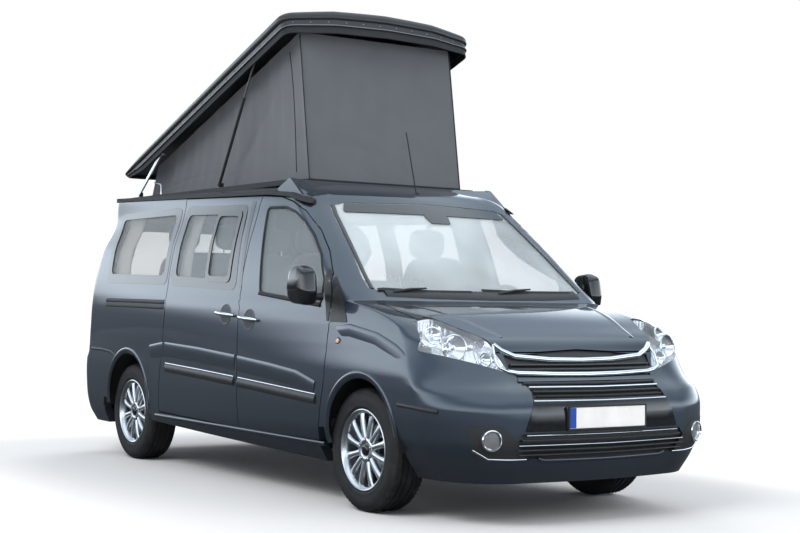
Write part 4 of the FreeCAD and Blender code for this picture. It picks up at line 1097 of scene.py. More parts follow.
# ---- the lifting roof's shell ----
PIVOT = (-1965.0, 1885.0)
ARM_LENGTH = 460.0
ARM_RISE = math.radians(36.5)
SHELL_TILT = math.radians(19.0)
SHUT_HINGE = (PIVOT[0] + ARM_LENGTH, PIVOT[1])
UP_HINGE = (PIVOT[0] + ARM_LENGTH * math.cos(ARM_RISE), PIVOT[1] + ARM_LENGTH * math.sin(ARM_RISE))
SEAL_TOP = 1867.0
RIM_Z = SEAL_TOP + 11.0
SHELL_HALF = 719.0
SHELL_REAR, SHELL_FRONT = -2145.0, 506.0
RIB_X = (SHELL_REAR, SHELL_REAR + 300, SHELL_REAR + 1700, SHELL_FRONT)
RIB_SIDE = (100, 112, 128, 134)
RIB_CROWN = (122, 150, 172, 160)


def lifted(x, y, z):
    """A point of the shut shell, where it is with the roof up."""
    dx, dz = x - SHUT_HINGE[0], z - SHUT_HINGE[1]
    c, s = math.cos(SHELL_TILT), math.sin(SHELL_TILT)
    return Vector((UP_HINGE[0] + dx * c - dz * s, y, UP_HINGE[1] + dx * s + dz * c))


def crown(x, y):
    side, top = np.interp(x, RIB_X, RIB_SIDE), np.interp(x, RIB_X, RIB_CROWN)
    return float(side + (top - side) * (1 - min(1, (y / (SHELL_HALF - 16)) ** 2)))


def shell_plan(inset):
    """The shell's outline drawn in by inset, with the same number of points whatever the inset."""
    half = SHELL_HALF - inset
    share = half / SHELL_HALF
    tail, nose = SHELL_REAR + inset, SHELL_FRONT - inset
    corners = [(tail, -half), (nose - 86 * share, -half), (nose - 18 * share, -380 * share), (nose, 0),
               (nose - 18 * share, 380 * share), (nose - 86 * share, half), (tail, half)]
    line = rounded(corners, max(90 - inset * 0.4, 12), 5)
    out = []
    for i, a in enumerate(line):
        b = line[(i + 1) % len(line)]
        parts = 1 if (i + 1) % 6 else (3 if i == len(line) - 1 else 10)
        out += [Vector(a).lerp(Vector(b), k / parts) for k in range(parts)]
    return [(p.x, p.y * float(np.interp(p.x, RIB_X[:2], (704 / 719, 1)))) for p in out]


def shell_ring(inset, share, drop=0.0):
    """A ring round the shell at a share of the height from its rim to its crown."""
    ring = []
    for x, y in shell_plan(inset):
        low = 84.0 * min(max((SHELL_REAR + 250 - x) / 260.0, 0.0), 1.0)
        ring.append(lifted(x, y, RIM_Z + low + (crown(x, y) - low) * share - drop))
    return ring


def shell_band(name, levels, material):
    return Form().loop([shell_ring(*level) for level in levels]).piece(name, "roof_shell", material)


dome = [shell_ring(*level) for level in ((12, 0.62), (4, 0.635), (0, 0.68), (0, 0.84), (3, 0.92), (9, 0.975),
                                         (18, 1.0), (34, 1.0), (70, 1.0), (130, 1.0), (220, 1.0), (330, 1.0),
                                         (450, 1.0), (560, 1.0), (650, 1.0), (700, 1.0))]
lining = [shell_ring(inset, 1.0, 15.0) for inset in (700, 560, 330, 130, 40)] + [shell_ring(30, 0.62)]
roof_dome = Form().rings(lining + dome).piece("roof_dome", "roof_shell", "shell", 50)
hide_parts("roof_shell")
shell_band("roof_band", ((12, 0.37), (12, 0.62), (30, 0.62), (30, 0.37)), "shell")
shell_band("roof_bright_rail", ((9, 0.325), (7, 0.33), (7, 0.365), (9, 0.37), (30, 0.37), (30, 0.325)),
           "steel")
# A dark rubber skirt down to the shell's rim, dark partly as rubber and partly as painted shade under the
# shell's edge
shell_band("roof_skirt", ((19, 0.0), (17, 0.01), (17, 0.325), (24, 0.325), (24, 0.0)), "rubber")
shell_band("roof_groove", ((14, 0.60), (11.4, 0.605), (11.4, 0.62), (14, 0.625)), "rubber")


def geometry_tree(name, inputs, kinds):
    """A Geometry Nodes modifier's tree and its nodes.  Inputs and nodes are given as kinds by label."""
    tree = bpy.data.node_groups.new(name, "GeometryNodeTree")
    for label, kind in {"Geometry": "Geometry", **inputs}.items():
        tree.interface.new_socket(label, in_out="INPUT", socket_type="NodeSocket" + kind)
    tree.interface.new_socket("Geometry", in_out="OUTPUT", socket_type="NodeSocketGeometry")
    nodes = {"given": tree.nodes.new("NodeGroupInput"), "result": tree.nodes.new("NodeGroupOutput")}
    for label, kind in kinds.items():
        nodes[label] = tree.nodes.new(kind)
    return tree, nodes


def join(tree, nodes, *links):
    """Links the nodes of a tree, each link given as node.Output > node.Input."""
    for link in links:
        (source, out), (target, into) = (end.split(".") for end in link.split(" > "))
        tree.links.new(nodes[source].outputs[out], nodes[target].inputs[into])


def stud_tree():
    """A small domed head at every point, turned to the point's facing."""
    tree, nodes = geometry_tree("studs", {"Radius": "Float", "Finish": "Material"}, {
        "head": "GeometryNodeMeshUVSphere", "flat": "GeometryNodeTransform",
        "facing": "GeometryNodeInputNamedAttribute", "align": "FunctionNodeAlignRotationToVector",
        "copies": "GeometryNodeInstanceOnPoints", "real": "GeometryNodeRealizeInstances",
        "finish": "GeometryNodeSetMaterial",
    })
    nodes["head"].inputs["Segments"].default_value = 10
    nodes["head"].inputs["Rings"].default_value = 6
    nodes["flat"].inputs["Scale"].default_value = (1, 1, 0.45)
    nodes["facing"].data_type = "FLOAT_VECTOR"
    nodes["facing"].inputs["Name"].default_value = "facing"
    nodes["align"].axis = "Z"
    join(tree, nodes, "given.Radius > head.Radius", "head.Mesh > flat.Geometry",
         "facing.Attribute > align.Vector", "given.Geometry > copies.Points",
         "flat.Geometry > copies.Instance", "align.Rotation > copies.Rotation",
         "copies.Instances > real.Geometry", "real.Geometry > finish.Geometry",
         "given.Finish > finish.Material", "finish.Geometry > result.Geometry")
    return tree


def block_tree():
    """Blocks set round a circle in the XZ plane, such as the shoulders of a tread or the ribs of a disc."""
    tree, nodes = geometry_tree("blocks", {"Count": "Int", "Radius": "Float", "Size": "Vector",
                                           "Along": "Float", "Lean": "Float", "Finish": "Material"},
                                {"circle": "GeometryNodeMeshCircle", "block": "GeometryNodeMeshCube",
                                 "lean": "ShaderNodeCombineXYZ", "shaped": "GeometryNodeTransform",
                                 "position": "GeometryNodeInputPosition",
                                 "align": "FunctionNodeAlignRotationToVector",
                                 "copies": "GeometryNodeInstanceOnPoints", "shift": "ShaderNodeCombineXYZ",
                                 "moved": "GeometryNodeTransform", "real": "GeometryNodeRealizeInstances",
                                 "finish": "GeometryNodeSetMaterial"})
    nodes["align"].axis = "X"
    nodes["align"].pivot_axis = "Z"
    join(tree, nodes, "given.Count > circle.Vertices", "given.Radius > circle.Radius",
         "given.Size > block.Size", "given.Lean > lean.Y", "block.Mesh > shaped.Geometry",
         "lean.Vector > shaped.Rotation", "position.Position > align.Vector", "circle.Mesh > copies.Points",
         "shaped.Geometry > copies.Instance", "align.Rotation > copies.Rotation", "given.Along > shift.Z",
         "copies.Instances > moved.Geometry", "shift.Vector > moved.Translation",
         "moved.Geometry > real.Geometry", "real.Geometry > finish.Geometry",
         "given.Finish > finish.Material", "finish.Geometry > result.Geometry")
    return tree


def grown_mesh(name, tree, start, **values):
    """What the tree makes from a starting mesh, as a plain mesh."""
    seed = in_scene(name + "_seed", start)
    nodes = seed.modifiers.new("nodes", "NODES")
    nodes.node_group = tree
    for item in tree.interface.items_tree:
        if item.in_out == "INPUT" and item.name in values:
            nodes[item.identifier] = values[item.name]
    bpy.context.view_layer.update()
    made = bpy.data.meshes.new_from_object(seed.evaluated_get(bpy.context.evaluated_depsgraph_get()))
    bpy.data.objects.remove(seed)
    return made


STUDS, BLOCKS = stud_tree(), block_tree()


def studs(name, spots, radius, body, material):
    """Heads at spots, each a point and the way it faces, in millimetres."""
    start = bpy.data.meshes.new(name + "_points")
    start.from_pydata([p * MM for p, facing in spots], [], [])
    facing = start.attributes.new("facing", "FLOAT_VECTOR", "POINT")
    facing.data.foreach_set("vector", [c for p, way in spots for c in way])
    mesh = grown_mesh(name, STUDS, start, Radius=radius * MM, Finish=MATERIALS[material])
    shade(mesh, 60)
    return finish_piece(name, mesh, body, material)


RIVET_GAP = 118.0
band_line = resampled([(p.x, p.y, p.z) for p in shell_ring(12, 0.50)], 8.0)
spots, walked = [], 0.0
for before, p, after in zip(band_line, band_line[1:], band_line[2:]):
    walked += (p - before).length
    if walked > RIVET_GAP:
        walked = 0.0
        out = (after - before).cross(Vector((-math.sin(SHELL_TILT), 0, math.cos(SHELL_TILT)))).normalized()
        spots.append((p, out))
studs("roof_rivets", spots, 6.0, "roof_shell", "steel")

# ---- the tent ----
TENT_HALF = 571.0
TENT_FOOT = ((-1988.0, SEAL_TOP + 0.5), (303.0, SEAL_TOP + 0.5))
TENT_HEAD = ((-1868.0, 2050.0), (168.0, 2757.0))
TENT_TUCK = 45.0               # how far the cloth goes up inside the shell
TENT_CLOTH, CURTAIN_CLOTH = 0.0015, 0.0012   # thicknesses, in metres
SIDE_COLUMNS, FRONT_COLUMNS, TENT_ROWS = 84, 44, 40


def tent_edge(share, ends):
    return Vector(ends[0]).lerp(Vector(ends[1]), share)


def tent_slack(along, up, front):
    """How far the cloth falls in from its frame: a slow bow, upright folds and creases from its corners."""
    held = math.sin(math.pi * min(max(up, 0.0), 1.0)) ** 0.8
    ends = min(along, 1 - along)
    corner = 1 - math.exp(-ends * (14 if front else 30))
    bow = (34.0 if front else 22.0) * held * corner
    folds = 5.0 * math.sin(along * (23 if front else 46) + 3.0 * up + 1.2 * math.sin(along * 11))
    folds += 3.2 * math.sin(along * (41 if front else 87) - 5.0 * up)
    crease = 6.0 * math.exp(-((along - (0.5 + 0.42 * up)) / 0.028) ** 2) if not front else 0.0
    crease += 5.0 * math.exp(-((up - 0.16 - 0.10 * math.sin(along * 6)) / 0.03) ** 2)
    crease += 4.0 * math.exp(-((up - 0.62 - 0.16 * math.sin(along * 5 + 1)) / 0.035) ** 2) if front else 0.0
    return bow + (folds * (0.35 + 0.65 * up) + crease) * (0.25 + 0.75 * held) * corner


def tent_point(side, along, up):
    """side -1 or 1 is that side wall, 0 the front; along runs from 0 to 1 on it, up from foot to head."""
    slope = math.atan2(TENT_HEAD[1][1] - TENT_HEAD[0][1], TENT_HEAD[1][0] - TENT_HEAD[0][0])
    tuck = Vector((-math.sin(slope), math.cos(slope))) * TENT_TUCK
    share = along if side else 1.0
    foot, head = tent_edge(share, TENT_FOOT), tent_edge(share, TENT_HEAD) + tuck
    at = foot.lerp(head, up)
    slack = tent_slack(along, up, not side) + 1.0
    if side:
        return Vector((at.x, side * (TENT_HALF - slack), at.y))
    return Vector((at.x - slack, TENT_HALF * (2 * along - 1), at.y))


def tent_walls():
    columns = [(-1, k / SIDE_COLUMNS) for k in range(SIDE_COLUMNS)]
    columns += [(0, k / FRONT_COLUMNS) for k in range(FRONT_COLUMNS)]
    columns += [(1, 1 - k / SIDE_COLUMNS) for k in range(SIDE_COLUMNS + 1)]
    mesh = bpy.data.meshes.new("tent_walls")
    points = [tent_point(side, along, r / TENT_ROWS) * MM for side, along in columns
              for r in range(TENT_ROWS + 1)]
    mesh.from_pydata(points, [], grid_faces(len(columns) - 1, TENT_ROWS))
    last = (len(columns) - 1) * (TENT_ROWS + 1)
    with editing(mesh) as work:
        work.verts.ensure_lookup_table()
        for r in range(TENT_ROWS):
            work.faces.new([work.verts[i] for i in (last + r, r, r + 1, last + r + 1)])
        bmesh.ops.recalc_face_normals(work, faces=work.faces)
        if sum(f.normal.x for f in work.faces if f.calc_center_median().x > 0.15) < 0:
            bmesh.ops.reverse_faces(work, faces=work.faces)
        cut_area = sum(f.calc_area() for f in work.faces)
    shade(mesh, 50)
    walls = finish_piece("tent_walls", mesh, "chassis", "tent")
    thickened(walls, TENT_CLOTH)
    return walls, cut_area


tent, tent_area = tent_walls()
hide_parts("tent")

SEAM_RADIUS = 4.0
tent_seams = []
for side_name, sign in SIDES:
    line = [tent_point(sign, 1.0, k / 24) + Vector((1.5, sign * 1.5, 0)) for k in range(25)]
    tent_seams.append(Form().tube(line, SEAM_RADIUS, 8).piece("tent_seam_" + side_name, "chassis", "rubber",
                                                              60))
    zip_line = [tent_point(sign, 0.93, k / 30) + Vector((0, sign * 1.5, 0)) for k in range(2, 29)]
    tent_seams.append(Form().tube(zip_line, 3.0, 6).piece("tent_zip_" + side_name, "chassis", "rubber", 60))
hem_stations = [(-1, k / 30) for k in range(31)] + [(0, k / 20) for k in range(1, 20)]
hem_stations += [(1, 1 - k / 30) for k in range(31)]
hem = [tent_point(side, along, 0.004) + Vector((0, 0, 1)) for side, along in hem_stations]
tent_seams.append(Form().tube(hem, 5.0, 8).piece("tent_hem", "chassis", "rubber", 60))
for piece in [tent] + tent_seams:
    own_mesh(piece)

# ---- wheels ----
SPOKES = 12
TYRE_WALL = ((212, -84), (217, -93), (226, -99), (240, -104), (262, -107), (284, -106), (300, -101),
             (311, -96), (320, -90), (327, -81), (330, -70), (330.6, -58), (325, -56), (325, -49),
             (331, -47), (331.4, -26), (325, -24), (325, -16), (331.6, -14), (331.6, 14), (325, 16),
             (325, 24), (331.4, 26), (331, 47), (325, 49), (325, 56), (330.6, 58), (330, 70), (327, 81),
             (320, 90), (311, 96), (300, 101), (296, 103.4), (290, 103.8), (284, 106), (262, 107),
             (240, 104), (236, 104.8), (231, 102.5), (226, 99), (217, 93), (212, 84))
RIM_BARREL = ((202, -82), (213, -84), (219, -88), (221, -84), (213, -76), (204, -58), (202, 40), (205, 74),
              (213, 84), (219, 92), (220, 98), (215, 100), (209, 97), (201, 88), (195, 74), (193, 40),
              (194, -58))
SPOKE_STATIONS = ((56, 19, 80), (80, 16, 82), (110, 15, 83), (145, 16.5, 83), (178, 20, 81), (199, 25, 78))
HUB_FACE = ((0.5, 30), (64, 30), (72, 60), (70, 78), (64, 83), (44, 84), (36, 80), (34, 78), (0.5, 78))
CAP_FACE = ((0.5, 78), (31, 78), (31, 84), (28, 88), (16, 90), (0.5, 90.5))
BOLT_CIRCLE, BOLTS = 54.0, 5
BOLT_WELL = ((0.5, 80), (10.5, 80), (10.5, 84.6), (0.5, 84.6))
BOLT_HEAD = ((0.5, 84), (7, 84), (7, 87.5), (5, 89), (0.5, 89))
DISC_SECTION = ((62, -40), (142, -40), (142, -36), (138, -35), (138, -31), (142, -30), (142, -26), (62, -26))
VALVE_STEM, VALVE_TURN = ((0, 186, 70), (0, 196, 88)), 0.26
TREAD_COUNT = 68
SHOULDER_LUG, INNER_LUG = (9.0, 15.0, 26.0), (3.0, 13.0, 19.0)
TREAD_ROWS = (                 # place along the axle, lean, size of a lug, radius of the row
    (76, -0.42, SHOULDER_LUG, 324.5), (-76, 0.42, SHOULDER_LUG, 324.5),
    (36, 0.0, INNER_LUG, 329.9), (-36, 0.0, INNER_LUG, 329.9),
)


def around_hub(points, centre, sign, turn=0.0):
    """Points given as (tangent, radius, along the axle), turned about the axle and placed on a wheel."""
    x, y, z = centre
    c, s = math.cos(turn), math.sin(turn)
    return [Vector((x + t * c + r * s, y + sign * h, z - t * s + r * c)) for t, r, h in points]


def wheel(axle, x, side_name, sign):
    tag = axle + "_" + side_name
    body = "wheel_" + tag
    centre = Vector((x, sign * HALF_TRACK, HUB_HEIGHT))
    axis = (0, sign, 0)
    tyre = Form().lathe(TYRE_WALL, centre, axis, 96).piece("tyre_carcass_" + tag, body, "tyre", 32)
    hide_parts("tyre_" + tag)
    for k, (along, lean, size, radius) in enumerate(TREAD_ROWS):
        lugs = grown_mesh("tread", BLOCKS, bpy.data.meshes.new("none"), Count=TREAD_COUNT, Radius=radius * MM,
                          Size=[c * MM for c in size], Along=along * MM, Lean=lean, Finish=MATERIALS["tyre"])
        lugs.transform(Matrix.Translation(centre * MM) @ Matrix.Rotation(math.pi / 2 * -sign, 4, "X"))
        shade(lugs, 30)
        finish_piece("tread_%d_%s" % (k, tag), lugs, body, "tyre")
    face = Form().lathe(RIM_BARREL, centre, axis, 72)
    face.lathe(HUB_FACE, centre, axis, 60)
    for k in range(SPOKES):
        turn = math.tau * (k + 0.5) / SPOKES
        rings = [around_hub([(-w, r, h - 26), (-w, r, h - 7), (-w * 0.72, r, h - 1), (-w * 0.2, r, h + 1),
                             (w * 0.2, r, h + 1), (w * 0.72, r, h - 1), (w, r, h - 7), (w, r, h - 26)],
                            centre, sign, turn) for r, w, h in SPOKE_STATIONS]
        face.rings(rings)
    rim = face.piece("rim_face_" + tag, body, "alloy", 40)
    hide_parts("rim_" + tag)
    Form().lathe(CAP_FACE, centre, axis, 36).piece("wheel_cap_" + tag, body, "black_gloss", 50)
    # Black discs round the bolts are painted shade in the rim's bolt recesses
    wells, bolts = Form(), Form()
    for k in range(BOLTS):
        turn = math.radians(360 / BOLTS * k)
        spot = around_hub([(0, BOLT_CIRCLE, 0)], centre, sign, turn)[0]
        wells.lathe(BOLT_WELL, spot, axis, 18)
        bolts.lathe(BOLT_HEAD, spot, axis, 6)
    wells.piece("bolt_wells_" + tag, body, "black_plastic")
    bolts.piece("wheel_bolts_" + tag, body, "chrome")
    Form().lathe(DISC_SECTION, centre, axis, 60).piece("brake_disc_" + tag, body, "disc")
    valve = around_hub(VALVE_STEM, centre, sign, VALVE_TURN)
    Form().tube(valve, 4, 8).piece("valve_" + tag, body, "rubber")
    return centre


CALIPER_FROM, CALIPER_STEPS = 60, 8    # degrees from the top, and steps of 7 degrees


def caliper(axle, side_name, sign, centre):
    """A brake caliper over the disc's forward edge; it stays with what carries the wheel."""
    body = "knuckle_" + side_name if axle == "front" else "chassis"
    rings = []
    for k in range(CALIPER_STEPS + 1):
        turn = math.radians(CALIPER_FROM + 7 * k)
        low = 104 + 6 * abs(k - CALIPER_STEPS / 2) / (CALIPER_STEPS / 2)
        rings.append(around_hub([(0, low, -52), (0, 150, -54), (0, 158, -48), (0, 158, -16), (0, 150, -10),
                                 (0, low, -14)], centre, sign, turn))
    Form().rings(rings).piece("caliper_%s_%s" % (axle, side_name), body, "cast", 40)


for axle, x in (("front", FRONT_AXLE_X), ("rear", REAR_AXLE_X)):
    for side_name, sign in SIDES:
        caliper(axle, side_name, sign, wheel(axle, x, side_name, sign))

# ---- seats and curtains ----
CUSHION_CUTS = 17
CHANNEL_DEPTH, CHANNEL_WIDTH = 0.16, 0.035  # shares of a cushion's half sizes


def cushion(name, size, centre, lean, channels, material, square=4.6, crown_by=0.10):
    """A padded block: crowned, rounded, with sewn channels across its top.  lean turns it back about Y."""
    mesh = bpy.data.meshes.new(name)
    half = Vector(size) / 2
    c, s = math.cos(math.radians(lean)), math.sin(math.radians(lean))
    with editing(mesh) as work:
        bmesh.ops.create_cube(work, size=2.0)
        bmesh.ops.subdivide_edges(work, edges=work.edges[:], cuts=CUSHION_CUTS, use_grid_fill=True)
        for vert in work.verts:
            p = vert.co.copy()
            reach = (abs(p.x) ** square + abs(p.y) ** square + abs(p.z) ** square) ** (-1 / square)
            q = p * reach
            if q.z > 0:
                q.z += crown_by * (1 - q.x * q.x) * (1 - q.y * q.y)
            for across, at in channels:
                off = (q.x if across == "x" else q.y) - at
                q.z -= CHANNEL_DEPTH * math.exp(-(off / CHANNEL_WIDTH) ** 2) * max(q.z, 0)
            pull = 1 - 0.03 * (1 - abs(q.z)) * (abs(q.x) * abs(q.y)) ** 2
            local = Vector((q.x * half.x * pull, q.y * half.y * pull, q.z * half.z / (1 + crown_by)))
            vert.co = Vector((centre[0] + local.x * c + local.z * s, centre[1] + local.y,
                              centre[2] - local.x * s + local.z * c)) * MM
        bmesh.ops.recalc_face_normals(work, faces=work.faces)
    shade(mesh, 70)
    piece = finish_piece(name, mesh, "chassis", material)
    smooth = piece.modifiers.new("smooth", "SUBSURF")
    smooth.levels = smooth.render_levels = 1
    return piece


POST_APART = 55.0              # each post of a headrest from its middle


def headrest(name, at, width, lean):
    cushion(name, (190, width, 92), at, lean, (), "seat", 3.4)
    for k, off in enumerate((-POST_APART, POST_APART)):
        Form().tube([Vector(at) + Vector((0, off, -66)), Vector(at) + Vector((6, off, -158))], 6, 8) \
            .piece("%s_post_%d" % (name, k), "chassis", "chrome")


SEAT_Y = 430
SEAT_CHANNELS = (("y", -0.62), ("y", 0.62), ("x", -0.2), ("x", 0.3))
BACK_CHANNELS = (("y", -0.6), ("y", 0.6), ("x", -0.3), ("x", 0.3))
BENCH_CHANNELS = (("y", -0.33), ("y", 0.33))
for side_name, sign in SIDES:
    y = sign * SEAT_Y
    cushion("seat_" + side_name, (610, 500, 150), (510, y, 800), 4, SEAT_CHANNELS, "seat")
    cushion("seat_back_" + side_name, (620, 470, 130), (212, y, 1112), -81, BACK_CHANNELS, "seat")
    headrest("headrest_" + side_name, (138, y, 1508), 260, -86)
    Form().box((370, y - 190, 472), (750, y + 190, 722)).piece("seat_base_" + side_name, "chassis", "trim",
                                                               30, 14)
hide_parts("front_seats")
bench = cushion("bench_seat", (540, 1230, 160), (-1425, 0, 815), 2, BENCH_CHANNELS + (("x", 0.2),), "seat",
                6.0)
cushion("bench_back", (560, 1230, 100), (-1750, 0, 1190), -80, BENCH_CHANNELS + (("x", 0.3),), "seat",
        6.0)
Form().box((-1640, -550, 472), (-1210, 550, 735)).piece("bench_base", "chassis", "furniture", 30, 10)
for k, y in enumerate((-380, 0, 380)):
    headrest("bench_headrest_%d" % k, (-1815, y, 1590), 240, -84)
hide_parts("rear_bench")

CURTAIN_FOLD, CURTAIN_DEPTH = 34.0, 13.0
CURTAIN_ROWS = 18
CURTAIN_LIFT = -72             # the rail's place, behind the pane


def curtain(name, x0, x1, low, high, sign, gather):
    """A gathered cloth hung behind a pane, full of upright folds."""
    mesh = bpy.data.meshes.new(name)
    columns, rows = int(abs(x1 - x0) / CURTAIN_FOLD * 10), CURTAIN_ROWS
    points = []
    for c in range(columns + 1):
        t = c / columns
        for r in range(rows + 1):
            up = r / rows
            squeeze = 1 - gather * math.sin(math.pi * min(up * 1.15, 1)) ** 2 * 0.5
            x = x0 + (x1 - x0) * t * squeeze
            fold = math.sin(math.tau * t * columns / 10 + 0.6 * math.sin(7 * t)) * CURTAIN_DEPTH
            lift = CURTAIN_LIFT + fold * (0.7 + 0.3 * (1 - up))
            points.append(skin.side(x, low + (high - low) * up, sign, lift) * MM)
    mesh.from_pydata(points, [], grid_faces(columns, rows))
    shade(mesh, 80)
    piece = finish_piece(name, mesh, "chassis", "curtain")
    thickened(piece, CURTAIN_CLOTH)
    ends = [skin.side(x, high + 4, sign, CURTAIN_LIFT) for x in (x0, (x0 + x1) / 2, x1)]
    Form().tube(ends, 5, 8).piece(name + "_rail", "chassis", "alloy")


for side_name, sign in SIDES:
    curtain("rear_curtain_" + side_name, -1975, -1740, 1225, 1742, sign, 0.35)
    curtain("mid_curtain_" + side_name, -905, -770, 1225, 1730, sign, 0.2)

# ---- the back: lamps, tailgate and bumper ----
TAIL_PANE_HALF = ((694, 1190), (616, 1692))
TAIL_CLEAR_HALF = ((622, 1262), (556, 1626))
PLATE_RECESS = ((-300, 806), (300, 806), (284, 962), (-284, 962))
REAR_PLATE = ((-260, 828), (260, 828), (260, 938), (-260, 938))
TAIL_WIPER_PIVOT = (0, 1216)
TAIL_WIPER_HUB = ((0.5, -4), (24, -4), (22, 14), (12, 20), (0.5, 21))
TAIL_BLADE = ((-330, 1276), (-90, 1262), (110, 1262), (330, 1276))
REAR_REFLECTOR = ((640, 470), (790, 470), (790, 512), (640, 512))
LAMP_BANDS = ((862, 906, "lens"), (914, 952, "amber_lens"))  # low and high edges in a tail lamp


def both_halves(half):
    return [(y, z) for y, z in half] + [(-y, z) for y, z in reversed(half)]


smooth_panel("tail_lamps", "chassis", "red_lens", "tail_lamp_lenses")
patch("tail_pane_border", rounded(both_halves(TAIL_PANE_HALF), 40, 6), on_back, "tailgate", "black_gloss",
      1.6, 5.0, hole=rounded(both_halves(TAIL_CLEAR_HALF), 46, 6), cell=60.0)
patch("high_brake_lamp", rounded(((-170, 1704), (170, 1704), (164, 1728), (-164, 1728)), 8, 3), on_back,
      "tailgate", "red_lens", 5.0, 7.0)
patch("tail_plate_recess", rounded(PLATE_RECESS, 22, 5), on_back, "tailgate", "black_plastic", 1.4, 5.0)
patch("tail_plate", rounded(REAR_PLATE, 6, 3), on_back, "tailgate", "plate", 5.0, 5.0)
moulding("tailgate_handle", [(-300, 984), (0, 990), (300, 984)], bead(30.0, 16.0, 3.0, 8), on_back,
         "tailgate", "chrome")
moulding("tailgate_crease", [(-780, 1120), (-400, 1096), (0, 1090), (400, 1096), (780, 1120)],
         [(w * 0.6, h * 0.7) for w, h in CREASE], on_back, "tailgate", "paint", 30)
blade = [on_back(y, z, 9) for y, z in TAIL_BLADE]
Form().tube(blade, [5, 7, 7, 5], 10).piece("tail_wiper_blade", "tailgate", "rubber", 50)
arm = [on_back(*TAIL_WIPER_PIVOT, 14), on_back(60, 1240, 22), on_back(60, 1262, 14)]
Form().tube(arm, [11, 8, 5], 10).piece("tail_wiper_arm", "tailgate", "black_plastic", 50)
Form().lathe(TAIL_WIPER_HUB, on_back(*TAIL_WIPER_PIVOT, 0), (-1, 0, 0), 24) \
    .piece("tail_wiper_hub", "tailgate", "black_plastic", 50)
moulding("rear_step", [(-740, 716), (0, 716), (740, 716)], bead(42.0, 8.0), on_back, "chassis",
         "black_plastic")
patch("rear_valance", rounded(((-620, 300), (620, 300), (560, 420), (-560, 420)), 26, 5), on_back, "chassis",
      "black_plastic", 1.6, 5.0)
for side_name, sign in SIDES:
    moulding("tail_lamp_rim_" + side_name, sided(((812, 776), (812, 1144)), sign), bead(6.0, 3.0), on_back,
             "chassis", "black_plastic")
    for low, high, material in LAMP_BANDS:
        band = sided(rounded(((820, low), (884, low), (884, high), (820, high)), 7, 3), sign)
        patch("tail_band_%d_%s" % (low, side_name), band, on_back, "chassis", material, 2.2, 4.0, cell=24.0)
    patch("rear_reflector_" + side_name, sided(rounded(REAR_REFLECTOR, 9, 3), sign), on_back, "chassis",
          "red_lens", 3.0, 5.0, cell=30.0)

# ---- the seal between bonnet and headlamp ----
for side_name, sign in SIDES:
    gap = [(x, sign * y) for x, y in ((1774, 690), (1806, 688), (1806, 790), (1774, 794))]
    patch("bonnet_seal_" + side_name, gap, on_top, "chassis", "rubber", -3.0, 8.0, cell=30.0)

# ---- the pillar's skin ahead of the front door, and the roof's rear links ----
PILLAR_COVER = ((585, 1678), (639, 1658), (820, 1542), (970, 1416), (1004, 1380), (942, 1473), (774, 1611),
                (604, 1719), (585, 1716))
ROOF_LINK = ((-1676, 1866), (-1676, 1936), (-1690, 1948), (-1790, 1966))
LINK_Y = 640.0
for side_name, sign in SIDES:
    patch("pillar_cover_" + side_name, PILLAR_COVER, on_side(sign), "chassis", "paint", 0.5, 4.0, cell=24.0)
    Form().tube([(x, sign * LINK_Y, z) for x, z in ROOF_LINK], [6, 6, 6, 6], 10) \
        .piece("roof_link_" + side_name, "chassis", "alloy", 50)


# ---- camera, floor and light ----
CAMERA_AT = (8.1838, -5.2184, 1.1359)
CAMERA_RIGHT = (0.56021, 0.82822, 0.014813)
CAMERA_UP = (0.010580, -0.025036, 0.99963)
CAMERA_BACK = (0.82829, -0.55984, -0.022787)
LENS = 67.11
FLOOR_HALF = 60.0
FLOOR_SHADOW = (2.45, 1.15)    # half length and half width of the ground that shows the van's shadow
HORIZON_TONE = (0.045, 0.050, 0.058)
LOW_SKY_TONE = (2.30, 2.55, 2.80)
MIDDLE_SKY_TONE = (0.42, 0.52, 0.64)
HIGH_SKY_TONE = (1.20, 1.36, 1.52)
EVEN_LIGHT = (0.60, 0.62, 0.65)


def ground_material():
    """White to the eye, with the shadow near the van; a dark ground in the paint's reflections."""
    made = Shader("floor", (0.90, 0.90, 0.90), 0.9, Emission_Strength=1.0)
    path = made.node("LightPath")
    seen = Value(made, path.socket.node.outputs["Is Camera Ray"])
    glossy = Value(made, path.socket.node.outputs["Is Glossy Ray"])
    x, y = made.axes()[:2]
    beyond = [made.maths("MAXIMUM", made.maths("ABSOLUTE", along) - half, 0.0)
              for along, half in ((x, FLOOR_SHADOW[0]), (y, FLOOR_SHADOW[1]))]
    far = (beyond[0] * beyond[0] + beyond[1] * beyond[1]).smoothly(0.02, 1.3)
    near = made.mix(made.noise(0.8, 3.0), (0.89, 0.89, 0.89), (0.91, 0.91, 0.91))
    near = made.mix(far * seen, near, (0, 0, 0))
    made.set(Base_Color=made.mix(glossy, near, (0.055, 0.058, 0.062)),
             Emission_Color=made.mix(far * seen, (0, 0, 0), (1, 1, 1)))
    return made.material


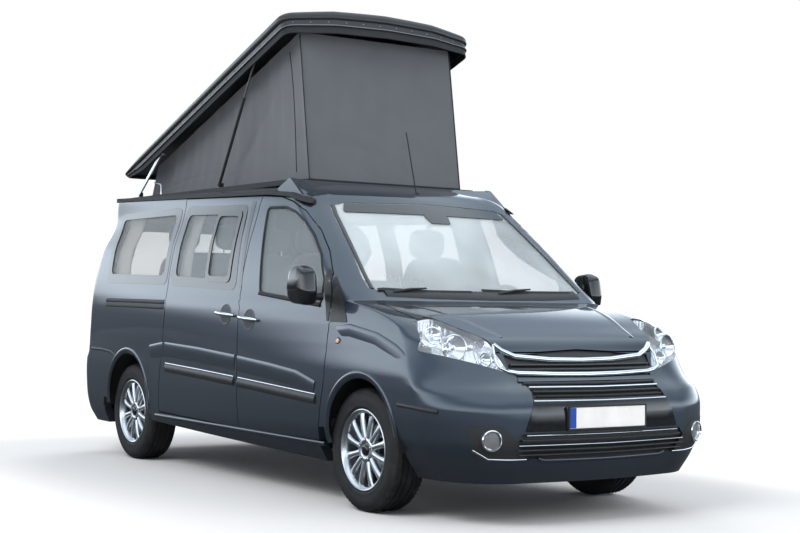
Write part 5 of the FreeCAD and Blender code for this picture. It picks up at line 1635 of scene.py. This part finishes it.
class Sky(Shader):
    """The studio round the van: white to the eye, an even light, and in reflections a dark horizon under a
    bright low sky, dimmer at mid height and bright again overhead."""

    def __init__(self):
        world = bpy.data.worlds.new("studio")
        world.use_nodes = True
        bpy.context.scene.world = world
        self.tree = world.node_tree
        self.surface = self.tree.nodes["Background"]
        path = self.node("LightPath")
        glossy = Value(self, path.socket.node.outputs["Is Glossy Ray"])
        seen = Value(self, path.socket.node.outputs["Is Camera Ray"])
        way = self.node("SeparateXYZ", {"Vector": self.node("TexCoord", out=0)})
        height = Value(self, way.socket.node.outputs["Z"])
        low = self.mix(height.smoothly(0.01, 0.12), HORIZON_TONE, LOW_SKY_TONE)
        middle = self.mix(height.smoothly(0.13, 0.50), low, MIDDLE_SKY_TONE)
        gloss = self.mix(height.smoothly(0.52, 0.78), middle, HIGH_SKY_TONE)
        tone = self.mix(glossy, EVEN_LIGHT, gloss)
        self.set(Color=self.mix(seen, tone, (1, 1, 1)), Strength=1.0)


def flat_quad(name, corners, material):
    mesh = bpy.data.meshes.new(name)
    mesh.from_pydata(corners, [], [tuple(range(len(corners)))])
    mesh.materials.append(material)
    in_scene(name, mesh)


def area_light(name, at, target, size, power):
    data = bpy.data.lights.new(name, "AREA")
    data.shape = "RECTANGLE"
    data.size, data.size_y = size
    data.energy = power
    light = in_scene(name, data)
    light.location = at
    light.rotation_euler = (Vector(target) - Vector(at)).to_track_quat("-Z", "Y").to_euler()
    light.visible_camera = False
    light.visible_glossy = False


camera_data = bpy.data.cameras.new("camera")
camera_data.sensor_width = 36.0
camera_data.lens = LENS
camera_data.clip_end = 200.0
camera = in_scene("camera", camera_data)
turn = Matrix((CAMERA_RIGHT, CAMERA_UP, CAMERA_BACK)).transposed().to_4x4()
camera.matrix_world = Matrix.Translation(CAMERA_AT) @ turn
bpy.context.scene.camera = camera

flat_quad("floor", [(a * FLOOR_HALF, b * FLOOR_HALF, 0) for a, b in ((-1, -1), (1, -1), (1, 1), (-1, 1))],
          ground_material())
Sky()
area_light("key", (3.0, -7.5, 7.0), (0, 0, 1.0), (6.0, 4.0), 520)
area_light("fill", (10.0, 3.0, 5.0), (0.5, 0, 1.0), (6.0, 4.0), 300)
area_light("back", (-7.0, 5.0, 6.0), (0, 0, 1.5), (5.0, 4.0), 300)
scene = bpy.context.scene
scene.view_settings.view_transform = "Standard"
scene.view_settings.look = "None"
